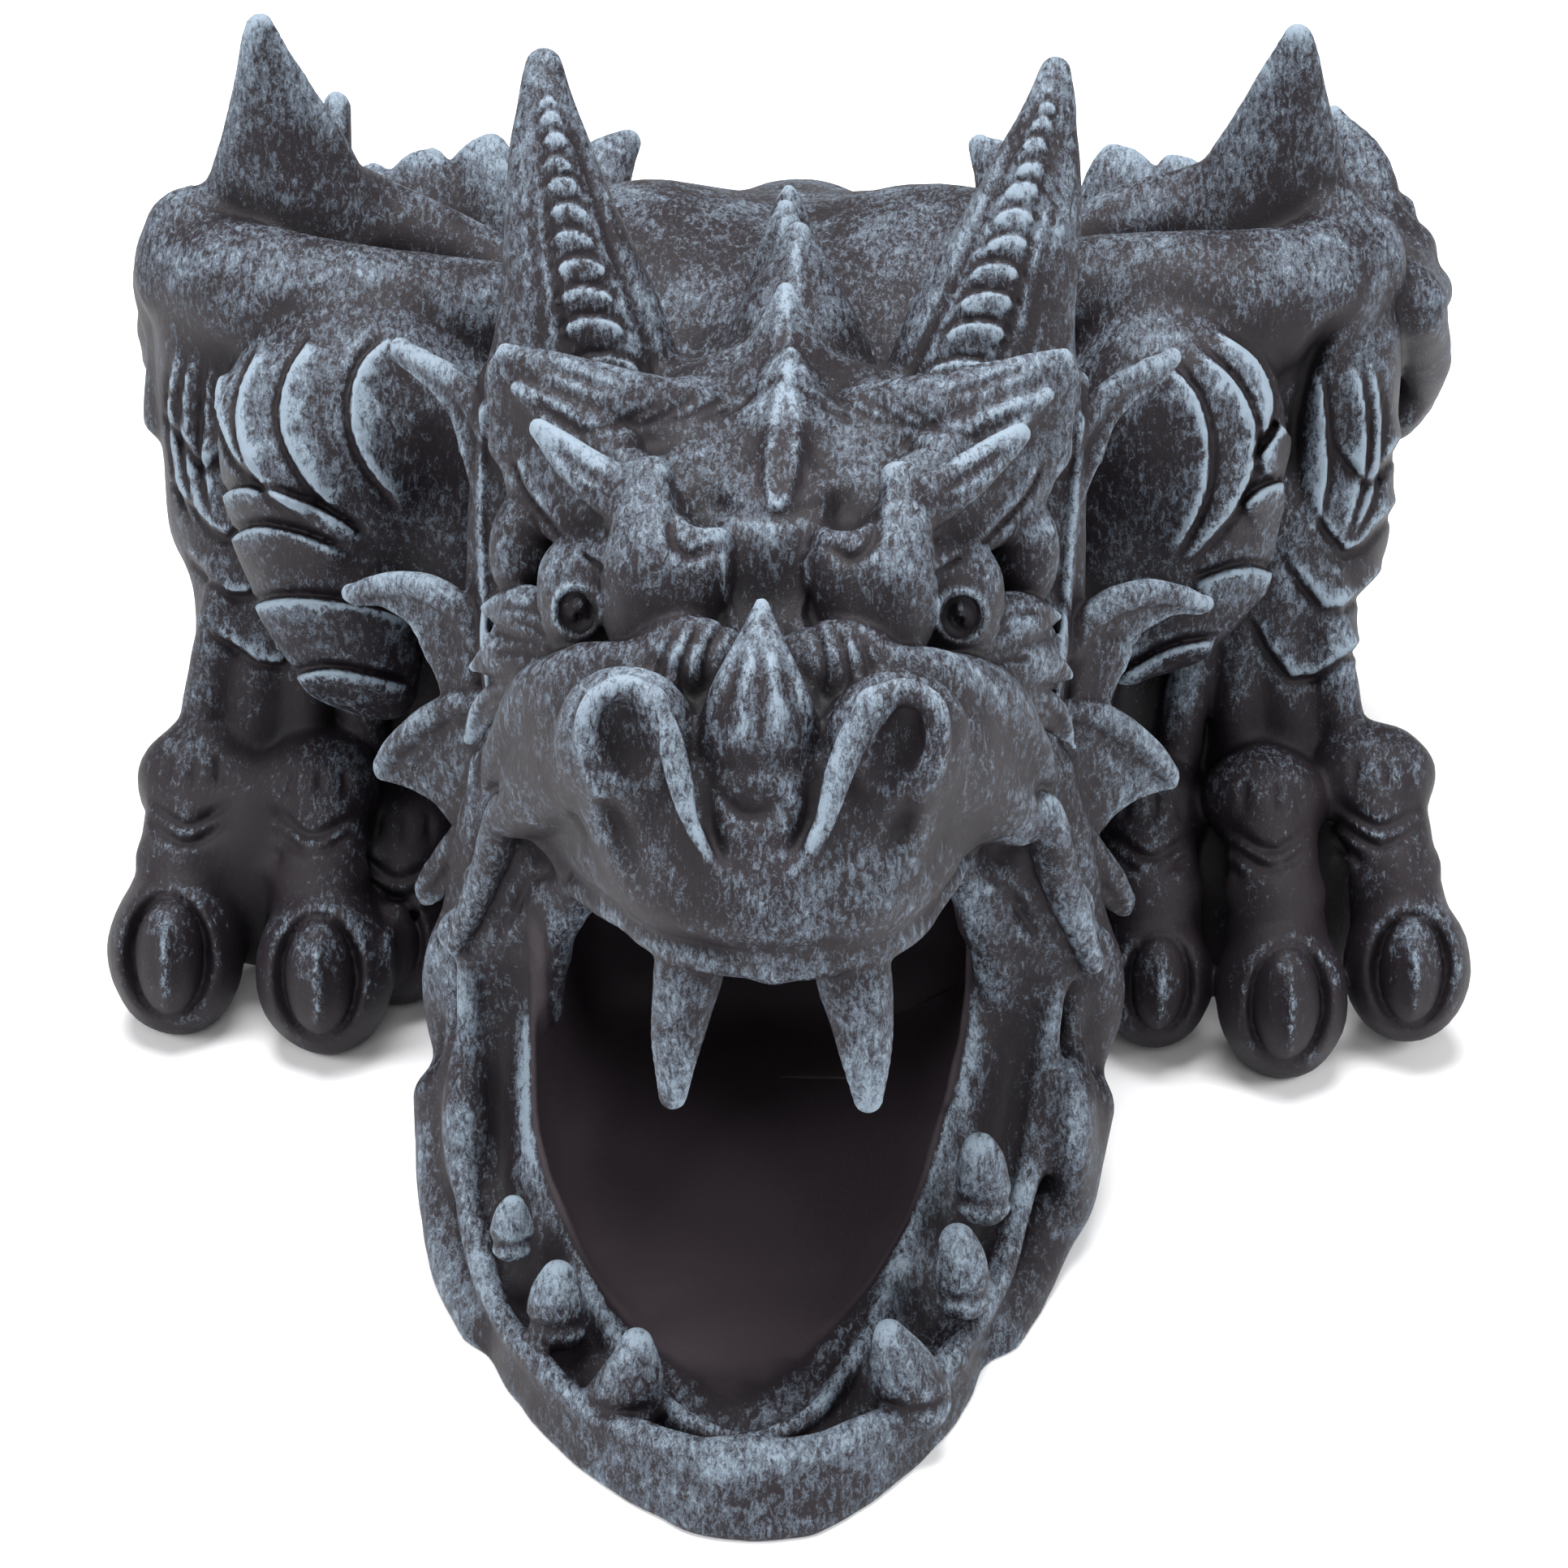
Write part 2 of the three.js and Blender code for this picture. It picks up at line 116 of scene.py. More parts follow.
# %% A block of clay
class Clay:
    """A block of clay between two corners; grain is the spacing of its grid in millimetres."""

    def __init__(self, low, high, grain):
        self.low = np.array(low, float)
        self.grain = grain
        self.count = [int(round((b - a) / grain)) + 1 for a, b in zip(low, high)]
        self.field = np.full(self.count, FAR, np.float32)

    def window(self, low, high):
        """The part of the grid between two corners, and the X, Y and Z of its points."""
        first = [max(0, int((a - o) / self.grain)) for a, o in zip(low, self.low)]
        last = [min(n, int((b - o) / self.grain) + 2) for b, o, n in zip(high, self.low, self.count)]
        if any(b <= a for a, b in zip(first, last)):
            return None, None
        ways = [o + self.grain * np.arange(a, b) for o, a, b in zip(self.low, first, last)]
        grid = np.meshgrid(*(way.astype(np.float32) for way in ways), indexing="ij", sparse=True)
        return tuple(slice(a, b) for a, b in zip(first, last)), grid

    def blend_in(self, where, lump, melt, cut):
        """Joins a lump to the clay, or cuts it out; melt is how far the joint is smoothed."""
        old = self.field[where]
        self.field[where] = soft_max(old, -lump, melt) if cut else soft_min(old, lump, melt)

    def ball(self, centre, radii, turn=(0, 0, 0), melt=4, cut=False):
        """A lump with three radii, turned by degrees about X, Y and Z."""
        reach = max(radii) + melt + 2 * self.grain
        where, grid = self.window(np.array(centre) - reach, np.array(centre) + reach)
        if where is None:
            return
        x, y, z = (g - c for g, c in zip(grid, centre))
        spin = np.eye(3)
        for axis, degrees in zip("XYZ", turn):
            spin = np.array(Matrix.Rotation(math.radians(degrees), 3, axis)) @ spin
        u, v, w = (dot(spin[:, i], x, y, z) for i in range(3))
        a, b, c = radii
        near = np.sqrt((u / a) ** 2 + (v / b) ** 2 + (w / c) ** 2)
        steep = np.sqrt((u / a**2) ** 2 + (v / b**2) ** 2 + (w / c**2) ** 2) + 1e-6
        self.blend_in(where, near * (near - 1) / steep, melt, cut)

    def strand(self, points, melt=3, per=5, flat=None, cut=False):
        """A tapering rod through points [x, y, z, radius]; flat = (direction, factor) thins it that way."""
        path = smooth_path(points, per)
        reach = path[:, 3].max() + melt + 2 * self.grain
        where, grid = self.window(path[:, :3].min(0) - reach, path[:, :3].max(0) + reach)
        if where is None:
            return
        shape = tuple(s.stop - s.start for s in where)
        whole = np.full(shape, FAR, np.float32)
        ways = [g.ravel() for g in grid]
        thin, factor = flat or ((1, 0, 0), 1)
        thin = np.array(thin, float) / np.linalg.norm(thin)
        for a, b in zip(path, path[1:]):
            low = np.minimum(a[:3], b[:3]) - max(a[3], b[3]) - melt - 2 * self.grain
            high = np.maximum(a[:3], b[:3]) + max(a[3], b[3]) + melt + 2 * self.grain
            spans = zip(ways, low, high)
            part = tuple(slice(*np.searchsorted(way, (first, last))) for way, first, last in spans)
            x, y, z = np.meshgrid(*(w[s] for w, s in zip(ways, part)), indexing="ij", sparse=True)
            x, y, z = x - a[0], y - a[1], z - a[2]
            step = b[:3] - a[:3]
            if factor != 1:
                extra = (factor - 1) * dot(thin, x, y, z)
                x, y, z = x + extra * thin[0], y + extra * thin[1], z + extra * thin[2]
                step = step + (factor - 1) * (step @ thin) * thin
            t, gap = from_segment(step, x, y, z)
            whole[part] = np.minimum(whole[part], np.sqrt(gap) - (a[3] + t * (b[3] - a[3])))
        self.blend_in(where, whole, melt, cut)

    def web(self, a, b, c, thick, melt=2):
        """A flat skin stretched over three points."""
        a, b, c = (np.array(p, float) for p in (a, b, c))
        reach = thick + melt + 2 * self.grain
        corners = np.array([a, b, c])
        where, grid = self.window(corners.min(0) - reach, corners.max(0) + reach)
        if where is None:
            return
        normal = np.cross(b - a, c - a)
        normal /= np.linalg.norm(normal)
        x, y, z = grid
        height = np.abs(dot(normal, x - a[0], y - a[1], z - a[2]))
        inside = np.ones(height.shape, bool)
        rim = np.full(height.shape, 1e6, np.float32)
        for p, q in ((a, b), (b, c), (c, a)):
            u, v, w = x - p[0], y - p[1], z - p[2]
            inside &= dot(np.cross(q - p, normal), u, v, w) <= 0
            rim = np.minimum(rim, from_segment(q - p, u, v, w)[1])
        self.blend_in(where, np.where(inside, height, np.sqrt(rim)) - thick / 2, melt, False)


print("tools:", [name for name in vars(Clay) if name[0] != "_"])

# %% [markdown]
# A stroke does not add a lump. It looks at the clay along the direction of the tool, finds how far each
# point near the surface is from the line, and raises or lowers the surface there.

# %% Drawing on the clay
def stroke(clay, points, width, amount, reach=14, lap=False, per=5, taper=0.35):
    """Draws a line on the surface: a ridge, a groove if amount is negative, or with lap the edge of
    a plate whose raised side is on the left of the line's direction."""
    path = smooth_path([p[:3] for p in points], per)
    span = 2.6 * width + reach
    where, grid = clay.window(path.min(0) - span, path.max(0) + span)
    if where is None:
        return
    block = clay.field[where]
    band = np.abs(block) < 3 + abs(amount)
    if not band.any():
        return
    at = np.nonzero(band)
    x, y, z = (g.ravel()[i] for g, i in zip(grid, at))
    u, v, w = (dot(way, x, y, z) for way in VIEW)
    best = np.full(u.shape, 1e9, np.float32)
    sign, along, deep = np.ones_like(best), np.zeros_like(best), np.zeros_like(best)
    flat = np.stack([path @ way for way in VIEW], 1)
    total = len(flat) - 1
    for i, (p, q) in enumerate(zip(flat, flat[1:])):
        du, dv = q[0] - p[0], q[1] - p[1]
        t = np.clip(((u - p[0]) * du + (v - p[1]) * dv) / max(du * du + dv * dv, 1e-6), 0, 1)
        gap = (u - p[0] - t * du) ** 2 + (v - p[1] - t * dv) ** 2
        closer = gap < best
        best = np.where(closer, gap, best)
        sign = np.where(closer, np.sign(du * (v - p[1]) - dv * (u - p[0])), sign)
        along = np.where(closer, (i + t) / total, along)
        deep = np.where(closer, p[2] + t * (q[2] - p[2]), deep)
    gap = np.sqrt(best)
    if lap:  # the plate slopes away behind its edge, and a small hollow lies in front
        plate = np.maximum(1 - gap / (3.2 * width), 0) ** 1.3
        hollow = 0.6 * np.exp(-(((gap - 0.35 * width) / (0.4 * width)) ** 2))
        rise = np.where(sign > 0, plate, np.maximum(1 - gap / (0.3 * width), 0) - hollow)
    else:
        rise = np.exp(-((gap / width) ** 2) * 1.4)
    ends = np.clip(np.minimum(along, 1 - along) / taper, 0, 1) if taper > 0 else 1
    fade = np.clip((reach - np.abs(w - deep)) / (0.25 * reach), 0, 1)
    block[at] -= amount * rise * (ends * (2 - ends)) * fade
    clay.field[where] = block


print("a line reaches", stroke.__defaults__[0], "mm into the clay unless told otherwise")

# %% [markdown]
# Three small helpers measure and finish a block: one reads the distance at any point, one prints how
# much clay there is, and one makes all of it slightly uneven.

# %% Measuring and finishing
def value_at(clay, points):
    """The distances at any points, mixed from the eight grid points around each."""
    p = (points - clay.low) / clay.grain
    i = np.clip(p.astype(int), 0, np.array(clay.count) - 2)
    f = np.clip(p - i, 0, 1).astype(np.float32)
    total = np.zeros(len(points), np.float32)
    for corner in range(8):
        bits = [(corner >> k) & 1 for k in range(3)]
        share = np.prod([np.where(b, f[:, k], 1 - f[:, k]) for k, b in enumerate(bits)], axis=0)
        total += share * clay.field[i[:, 0] + bits[0], i[:, 1] + bits[1], i[:, 2] + bits[2]]
    return total


def weigh(clay, made):
    """Prints how much clay there is after a step."""
    volume = np.count_nonzero(clay.field < 0) * clay.grain**3 / 1000
    print(f"{made}: {volume:.0f} cm3 of clay")


def wobble(clay, amount, size, seed):
    """The unevenness of hand-worked clay: smooth random bumps of about the given size."""
    rng = np.random.default_rng(seed)
    coarse = [int(n * clay.grain / size) + 4 for n in clay.count]
    waves = rng.uniform(-1, 1, coarse).astype(np.float32)
    for n, m in zip(clay.count, coarse):
        t = np.arange(n) * clay.grain / size + 1
        i = np.clip(t.astype(int), 1, m - 3)
        f = t - i
        mix = np.zeros((n, m), np.float32)
        rows = np.arange(n)
        mix[rows, i - 1] = (1 - f) ** 3 / 6
        mix[rows, i] = (3 * f**3 - 6 * f**2 + 4) / 6
        mix[rows, i + 1] = (-3 * f**3 + 3 * f**2 + 3 * f + 1) / 6
        mix[rows, i + 2] = f**3 / 6
        waves = np.tensordot(waves, mix, (0, 1))
    clay.field += (2.2 * amount) * waves


middle = value_at(Clay((0, 0, 0), (4, 4, 4), 1), np.array([[1.5, 2, 2]]))[0]
print("in the middle of an empty block the distance reads", middle)

# %% [markdown]
# Rain runs through the real one, so the water channel is cut through everything, and its shape comes
# first. It is one formula rather than a mesh to subtract, because the paint needs the same formula
# later, to know where the stone was left bare. A basin fills the lower jaw, pointed in front and
# straight-sided behind, and a flat oval tunnel runs back from the throat to the inlet.

# %% Water channel
BASIN_HALF, BASIN_BACK, BASIN_TIP = 45.5, -128.0, -227.0
BASIN_END, TUNNEL_START = -62, -75
ROOF, FLOOR = 100.0, 11.0
TUNNEL_HALF, TUNNEL_TALL, TUNNEL_MIDDLE = 45.5, 28.5, 57
PLAN_SCALE, TUNNEL_SCALE = 42, 34  # these turn the two ratios into millimetres


def lean(y):
    """How far the jaw swings to the dragon's right; it is not quite straight."""
    return -5 * np.clip((-105 - y) / 45, 0, 1) * (1 - 0.75 * np.clip((-188 - y) / 50, 0, 1))


def channel(x, y, z):
    """Distance to the hollow of the water channel, negative in the hollow."""
    forward = np.maximum(BASIN_BACK - y, 0) / (BASIN_BACK - BASIN_TIP)
    shrink = 6 * np.clip(1 - (z - FLOOR) / 26, 0, 1) ** 2
    across = x - lean(y) + 1.5
    plan = np.sqrt((across / (BASIN_HALF - shrink)) ** 2 + 1e-4)
    plan = (plan + (1 + shrink / 60) * forward**1.75 - 1) * PLAN_SCALE
    flat_parts = np.maximum(FLOOR - z, z - ROOF + 0.0016 * x * x)
    basin = soft_max(soft_max(plan, flat_parts, 8), y - BASIN_END, 14)
    tunnel = np.sqrt((x / TUNNEL_HALF) ** 2 + ((z - TUNNEL_MIDDLE) / TUNNEL_TALL) ** 2)
    tunnel = (tunnel - 1) * TUNNEL_SCALE
    return soft_min(basin, soft_max(tunnel, TUNNEL_START - y, 4), 10)


print("basin is", BASIN_BACK - BASIN_TIP, "mm long in front of its straight sides")

# %% [markdown]
# Blender draws meshes, so the clay is cast into one. A remesh of many lumps could do it too, but the
# grid already holds the exact distances: a skin is drawn wherever the distance is zero, and thinned so
# that flat stretches keep few faces and crisp edges keep many. Each point also learns how proud it
# stands of its surroundings, because a dry brush only touches what stands proud, and because sunken
# places get painted shade.

# %% Casting clay into a mesh
STEPS = [(i, j, k) for i in (-1, 0, 1) for j in (-1, 0, 1) for k in (-1, 0, 1)]
WAYS = [np.array(step) / math.hypot(*step) for step in STEPS if abs(sum(map(abs, step)) - 2) == 1]

FLATNESS = 0.01  # how far the skin may leave the clay to save faces
REACH = 6  # distances beyond this say nothing about how proud a place is
PROUD = (("edge", (2.2,), 0.4), ("form", (6, 12), 3.0))  # name, how far to look, how much counts as 1


def skin_mesh(clay, name):
    """The skin as a mesh in metres, and its number of triangles."""
    grid = openvdb.FloatGrid(6.0)
    grid.copyFromArray(np.clip(clay.field, -2.5 * clay.grain, 2.5 * clay.grain), tolerance=1e-4)
    points, triangles, quads = grid.convertToPolygons(isovalue=0.0, adaptivity=FLATNESS)
    points = points * clay.grain + clay.low
    loops = np.concatenate([quads.ravel(), triangles.ravel()]).astype(np.int32)
    starts = np.concatenate([np.arange(len(quads)) * 4, len(quads) * 4 + np.arange(len(triangles)) * 3])
    mesh = bpy.data.meshes.new(name)
    mesh.vertices.add(len(points))
    mesh.vertices.foreach_set("co", (points / 1000).ravel().astype(np.float32))
    mesh.loops.add(len(loops))
    mesh.loops.foreach_set("vertex_index", loops)
    mesh.polygons.add(len(starts))
    mesh.polygons.foreach_set("loop_start", starts.astype(np.int32))
    mesh.update(calc_edges=True)
    return mesh, 2 * len(quads) + len(triangles)


def thin_out(piece, ratio):
    """Leaves that part of the faces, most of them where the skin bends."""
    thick, name = piece.data, piece.data.name
    piece.modifiers.new("thin", "DECIMATE").ratio = ratio
    bpy.context.view_layer.update()
    depsgraph = bpy.context.evaluated_depsgraph_get()
    slim = bpy.data.meshes.new_from_object(piece.evaluated_get(depsgraph))
    piece.modifiers.clear()
    piece.data = slim
    bpy.data.meshes.remove(thick)
    slim.name = name


def face_outward(clay, mesh):
    biggest = max(mesh.polygons, key=lambda face: face.area)
    outward = 1000 * np.array(biggest.center) + 1.5 * np.array(biggest.normal)
    if value_at(clay, outward[None])[0] < 0:
        mesh.flip_normals()


def store(mesh, name, values):
    layer = mesh.attributes.new(name, "FLOAT", "POINT")
    layer.data.foreach_set("value", values.astype(np.float32))


def store_proudness(clay, mesh, co):
    """A point is proud when the places around it lie, on average, outside the stone."""
    own = np.clip(value_at(clay, co), -REACH, REACH)
    for name, reaches, gain in PROUD:
        spots = [co + reach * way for reach in reaches for way in WAYS]
        around = [np.clip(value_at(clay, spot), -REACH, REACH) for spot in spots]
        store(mesh, name, (sum(around) / len(around) - own) / gain)


def store_bareness_and_shade(mesh, co):
    """Paint was kept out of the water channel; the sides near the ground get less paint and painted shade.
    """
    x, y, z = co.T
    wet = np.clip((2.5 - np.abs(channel(x, y, z))) / 1.5, 0, 1)
    wet = wet * np.clip((84 - z) / 10, 0, 1)
    # Darker low on the sides near the ground: partly thinner paint, partly painted shade.
    low = np.clip((np.abs(x) - 74) / 8, 0, 1) * np.clip((80 - z) / 30, 0, 1) * (y > -100)
    store(mesh, "bare_and_shaded", np.maximum(wet, 0.26 * low))


def cast(clay, name, faces):
    mesh, count = skin_mesh(clay, name)
    piece = bpy.data.objects.new(name, mesh)
    bpy.context.scene.collection.objects.link(piece)
    if count > faces:
        thin_out(piece, faces / count)
    mesh = piece.data
    face_outward(clay, mesh)
    mesh.polygons.foreach_set("use_smooth", np.ones(len(mesh.polygons), bool))
    co = np.zeros(3 * len(mesh.vertices), np.float32)
    mesh.vertices.foreach_get("co", co)
    co = co.reshape(-1, 3) * 1000
    store_proudness(clay, mesh, co)
    store_bareness_and_shade(mesh, co)
    print(name, "has", len(mesh.polygons), "faces from", count)
    return piece


print("each point looks around itself in", len(WAYS), "directions")

# %% [markdown]
# The body is the lump that everything else grows from: a chest that lies flat on the ground, two
# swells of muscle over the shoulders, and a rump that ends in the flat face around the inlet.

# %% Body
def both(make):
    """Does the same work on the dragon's left (side 1) and right (side -1)."""
    for side in (1, -1):
        make(side)


def flip(points, side):
    return [[side * p[0], *p[1:]] for p in points]


body = Clay((box_low[0] - 6, -92, -3.5), (box_high[0] + 6, rear + 5, 226), 0.9)

trunk = [[0, -78, 52, 50], [0, -40, 70, 66], [0, 0, 78, 80], [0, 60, 76, 82], [0, 130, 60, 68],
    [0, 180, 54, 56]]
body.strand([*trunk, [0, rear + 20, 53, 50]], 10, 6)
both(lambda s: body.ball((s * 36, 44, 122), (44, 60, 46), melt=14))
both(lambda s: body.ball((s * 38, 130, 84), (46, 66, 42), melt=14))
body.strand([[0, -66, 150, 14], [0, -10, 150, 14], [0, 40, 144, 12], [0, 110, 130, 12], [0, 190, 100, 6]],
    12)
for y in (92, 136, 172):
    z = 148 - 0.0018 * y * y
    body.strand([[0, y - 6, z - 12, 8], [0, y, z - 3, 6], [0, y + 9, z + 1, 3]], 5)
weigh(body, "body")

# %% [markdown]
# The wings are folded against the flanks. A thick arm runs over each shoulder to the wrist, where a
# broad claw stands up, and finger bones sweep back from the wrist with skin between them. A thin sheet
# would look like cloth, and the real ones are carved as one mass, so every bone is a tapering rod
# pressed into a soft slab. The dragon leans a little, and its left wing sits higher and closer in.

# %% Folded wings
FINGERS = (
    [[146, 30, 150, 8], [153, 56, 122, 6], [149, 96, 88, 5], [124, 146, 56, 4], [98, 178, 38, 2.5]],
    [[145, 30, 152, 8], [153, 66, 138, 6], [145, 108, 106, 5], [120, 156, 78, 4], [90, 196, 58, 3]],
    [[142, 32, 154, 8], [149, 74, 146, 6], [137, 116, 122, 5], [112, 156, 98, 4], [76, 196, 80, 3]],
    [[137, 36, 158, 8], [140, 80, 150, 6], [126, 122, 130, 5], [100, 162, 110, 4], [66, 198, 92, 3]],
    [[128, 40, 162, 8], [126, 84, 150, 6], [108, 126, 132, 5], [84, 164, 114, 4], [46, 194, 98, 3]],
)
TIPS = (
    [[114, 116, 118, 14], [112, 128, 131, 9], [110, 134, 137, 4]],
    [[100, 120, 116, 15], [98, 132, 133, 10], [95, 138, 140, 4]],
    [[82, 122, 112, 16], [82, 134, 134, 11], [80, 140, 142, 4.5]],
    [[62, 130, 112, 15], [54, 150, 130, 9], [46, 160, 137, 3.4]],
)

FINS = {
    -1: [[118, 80, 138, 16], [116, 92, 155, 8], [114, 100, 169, 4.5]],
    1: [[138, 70, 142, 15], [138, 80, 162, 9], [131, 90, 173, 4]],
}


def press_wing(s):
    slab = [[128, 22, 122, 25], [129, 60, 108, 25], [116, 104, 92, 27], [94, 150, 78, 28],
        [68, 190, 68, 22]]
    for lift in (-24, 0, 22):
        raised = [[s * x * (0.95 if s > 0 else 1.0), y, z + lift * (1 - y / 400), r] for x, y, z, r in slab]
        body.strand(raised, 9, flat=((1, 0.3, 0), 1.15))
    for finger in FINGERS:
        body.strand(flip(finger, s), 3)
    for tip in TIPS:
        body.strand(flip(tip, s), 3, flat=((0.2, 1, -0.4), 1.9))
    claw = [[112, 34, 164, 20], [114, 34, 181, 14.5], [117, 33, 199, 8.6], [119, 32, 216, 3]]
    body.strand([[s * x - 3, y, z, r] for x, y, z, r in claw], 5, flat=((0, 1, 0), 1.4))
    body.strand([[s * x - 3, y, z, r] for x, y, z, r in ([127, 34, 172, 8], [124, 33, 192, 5],
        [120, 32, 214, 1.6])], 4)
    body.strand(flip(FINS[s], s), 6, flat=((1, 0.2, 0), 1.3))
    for top, low in (((134, 96, 166), (138, 84, 120)), ((141, 90, 158), (145, 76, 112)),
        ((148, 78, 155), (150, 62, 108))):
        body.strand(flip([[*top, 2.5], [*low, 4.5]], s), 4)
    body.ball((s * 146, 64, 150), (6, 10, 7), melt=5)


ARMS = (
    ([[-50, 20, 146, 14], [-76, 8, 153, 15], [-98, 1, 158, 16], [-120, 7, 159, 16.5], [-139, 25, 157, 15]],
        3.5),
    ([[50, 18, 154, 14], [74, 7, 160, 16], [96, 1, 163, 17], [117, 9, 162, 16], [130, 25, 163, 14]], 3.5),
    ([[-140, 30, 164, 12], [-146, 32, 152, 9.5], [-147, 28, 138, 6], [-150, 24, 120, 4]], 4),
    ([[126, 28, 172, 9], [130, 26, 160, 9], [134, 23, 146, 6.5], [137, 18, 130, 4]], 3),
    ([[-62, 34, 150, 9], [-80, 38, 158, 9], [-104, 40, 166, 12]], 5),
    ([[62, 34, 158, 9], [80, 36, 168, 9], [104, 40, 170, 12]], 5),
)

both(press_wing)
for bone, melt in ARMS:
    body.strand(bone, melt)
weigh(body, "with wings")

# %% [markdown]
# Each shoulder is a ball of muscle wrapped in overlapping crescents, and the upper arm below it wears
# stacked plates. The leg behind them is a plain column with a few cords of sinew, planted on the paw.

# %% Shoulders and legs
SHOULDERS = (
    ((-99, -12, 134), (31, 35, 33), [[-104, -18, 126, 24.5], [-103, -24, 106, 21], [-99, -28, 88, 15.5],
        [-93, -30, 78, 8]]),
    ((88, -12, 135), (27, 34, 34), [[92, -16, 134, 21], [94, -22, 114, 19], [88, -28, 102, 15],
        [78, -32, 94, 10]]),
)

for centre, radii, upper_arm in SHOULDERS:
    body.ball(centre, radii, melt=3)
    body.strand(upper_arm, 3)
both(lambda s: body.ball((s * 74, -12, 120), (18, 28, 30), melt=8))
for s, x in ((-1, 119), (1, 113)):
    leg = [[x, 14, 112, 23], [x + 1, 8, 84, 22], [x + 3, 2, 60, 20], [x, -10, 34, 21]]
    body.strand(flip(leg, s), 5)
    body.ball((s * 80, 22, 44), (34, 40, 46), melt=6)
    for i, tilt in enumerate((-3, 0, 3, 5)):
        top = x - 15 + 9 * i
        sinew = [[top, -8, 96, 5], [top + tilt, -13, 70, 5.5], [top + 2 * tilt, -20, 48, 5]]
        body.strand(flip(sinew, s), 4)
weigh(body, "with legs")

# %% [markdown]
# The shoulders wear crescents, plates and feathers that overlap like roof tiles. Separate shells would
# leave gaps, so each is a line with one raised side, and the plates seem to slide under each other.
# Some lines are drawn backwards, because their raised side has to face the other way.

# %% Crescents, plates and feathers
RIGHT_CRESCENTS = (
    [[-130, -22, 155], [-130, -24, 147], [-125, -28, 137], [-119, -32, 131]],
    [[-119, -26, 162], [-123, -30, 151], [-122, -34, 141], [-116, -38, 132], [-106, -42, 126]],
    [[-106, -34, 169], [-111, -38, 160], [-112, -42, 150], [-107, -46, 140], [-99, -48, 131]],
    [[-88, -36, 171], [-94, -42, 166], [-96, -46, 156], [-93, -48, 145], [-85, -50, 134]],
)
LEFT_CRESCENTS = (
    [[97, -30, 171], [106, -28, 163], [110, -26, 152], [108, -28, 142]],
    [[92, -40, 172], [102, -38, 160], [106, -36, 145], [102, -40, 132], [91, -44, 119]],
    [[84, -46, 173], [92, -42, 160], [95, -42, 147], [94, -42, 134], [88, -46, 122]],
)
RIGHT_PLATES = (
    [[-130, -32, 127], [-122, -38, 132], [-112, -44, 133], [-102, -48, 131], [-94, -50, 126]],
    [[-128, -34, 117], [-120, -40, 123], [-110, -46, 125], [-98, -50, 122]],
    [[-123, -38, 102], [-114, -44, 107], [-104, -48, 109], [-92, -50, 108], [-84, -50, 105]],
    [[-113, -42, 86], [-104, -46, 90], [-96, -50, 91], [-85, -50, 88]],
)
LEFT_PLATES = (
    [[113, -30, 148], [110, -32, 144], [106, -36, 140]],
    [[114, -28, 132], [109, -30, 131], [103, -34, 128]],
    [[113, -34, 112], [104, -38, 115], [93, -42, 113]],
    [[99, -46, 101], [88, -48, 99], [76, -50, 92]],
)
FEATHERS = (
    [[142, 10, 144], [145, 6, 132], [144, 4, 114], [139, 6, 100]],
    [[138, 6, 146], [141, 2, 132], [140.5, 0, 118], [137, 2, 102]],
    [[133, 0, 148], [135, -4, 136], [136, -4, 122], [134, -2, 106]],
)
CHEVRONS = (
    [[127, 6, 126], [135, 4, 117], [140, 12, 119], [147, 20, 124]],
    [[122, 2, 112], [131, 0, 101], [138, 8, 103], [146, 18, 107]],
    [[115, -4, 104], [126, -8, 90], [134, 2, 88], [143, 14, 90]],
    [[108, -12, 92], [119, -16, 76], [129, -8, 76], [138, 4, 76]],
)

# lines, their direction, width, height, and the part at each end where the line fades
ROWS = (
    (RIGHT_CRESCENTS, 1, 2.8, 2.7, 0.18),
    (LEFT_CRESCENTS, -1, 2.8, 2.7, 0.18),
    (RIGHT_PLATES, -1, 3.2, 2.5, 0.15),
    (LEFT_PLATES, 1, 3.2, 2.5, 0.15),
)


def draw_flank(s):
    inset = 0.95 if s > 0 else 1.0
    for i, line in enumerate(FEATHERS):
        placed = [[s * (x * inset - (i == 2) * 4 * (s > 0)), y, z] for x, y, z in line]
        stroke(body, placed[::-s], 2.4, 2.0, lap=True, reach=16, taper=0.25)
    for line in CHEVRONS:
        stroke(body, flip(line, s)[::s], 3.2, 1.9, lap=True, reach=18, taper=0.2, per=2)


for lines, way, width, height, fade in ROWS:
    for line in lines:
        stroke(body, line[::way], width, height, lap=True, reach=18, taper=fade)
stroke(body, [[130, 10, 157], [122, 6, 151], [119, 2, 140], [118, -2, 126], [120, -2, 110]], 3.0, -4.0,
    reach=18)
both(draw_flank)
count = 2 * len(FEATHERS + CHEVRONS) + sum(len(row[0]) for row in ROWS)
print(count, "lines drawn on the body")

# %% [markdown]
# Every toe is a bent finger, a knuckle and a swollen tip that is nearly all claw. A claw stuck on top
# would look like a nail, so a hollow is cut first, and then an almond with a faint keel is pressed into
# it, which leaves a cuff of skin all round. Creases are drawn across the knuckles last.

# %% Paws
TOES = (
    ((86, -26, 46), (88, -58, 19), 13.5),
    ((113, -32, 52), (117, -66, 20), 16.0),
    ((139, -24, 54), (146, -56, 23), 15.5),
    ((-90, -24, 36), (-91, -44, 18), 12.5),
    ((-109, -28, 50), (-106, -62, 21), 17.0),
    ((-139, -24, 50), (-142, -54, 21), 17.0),
)


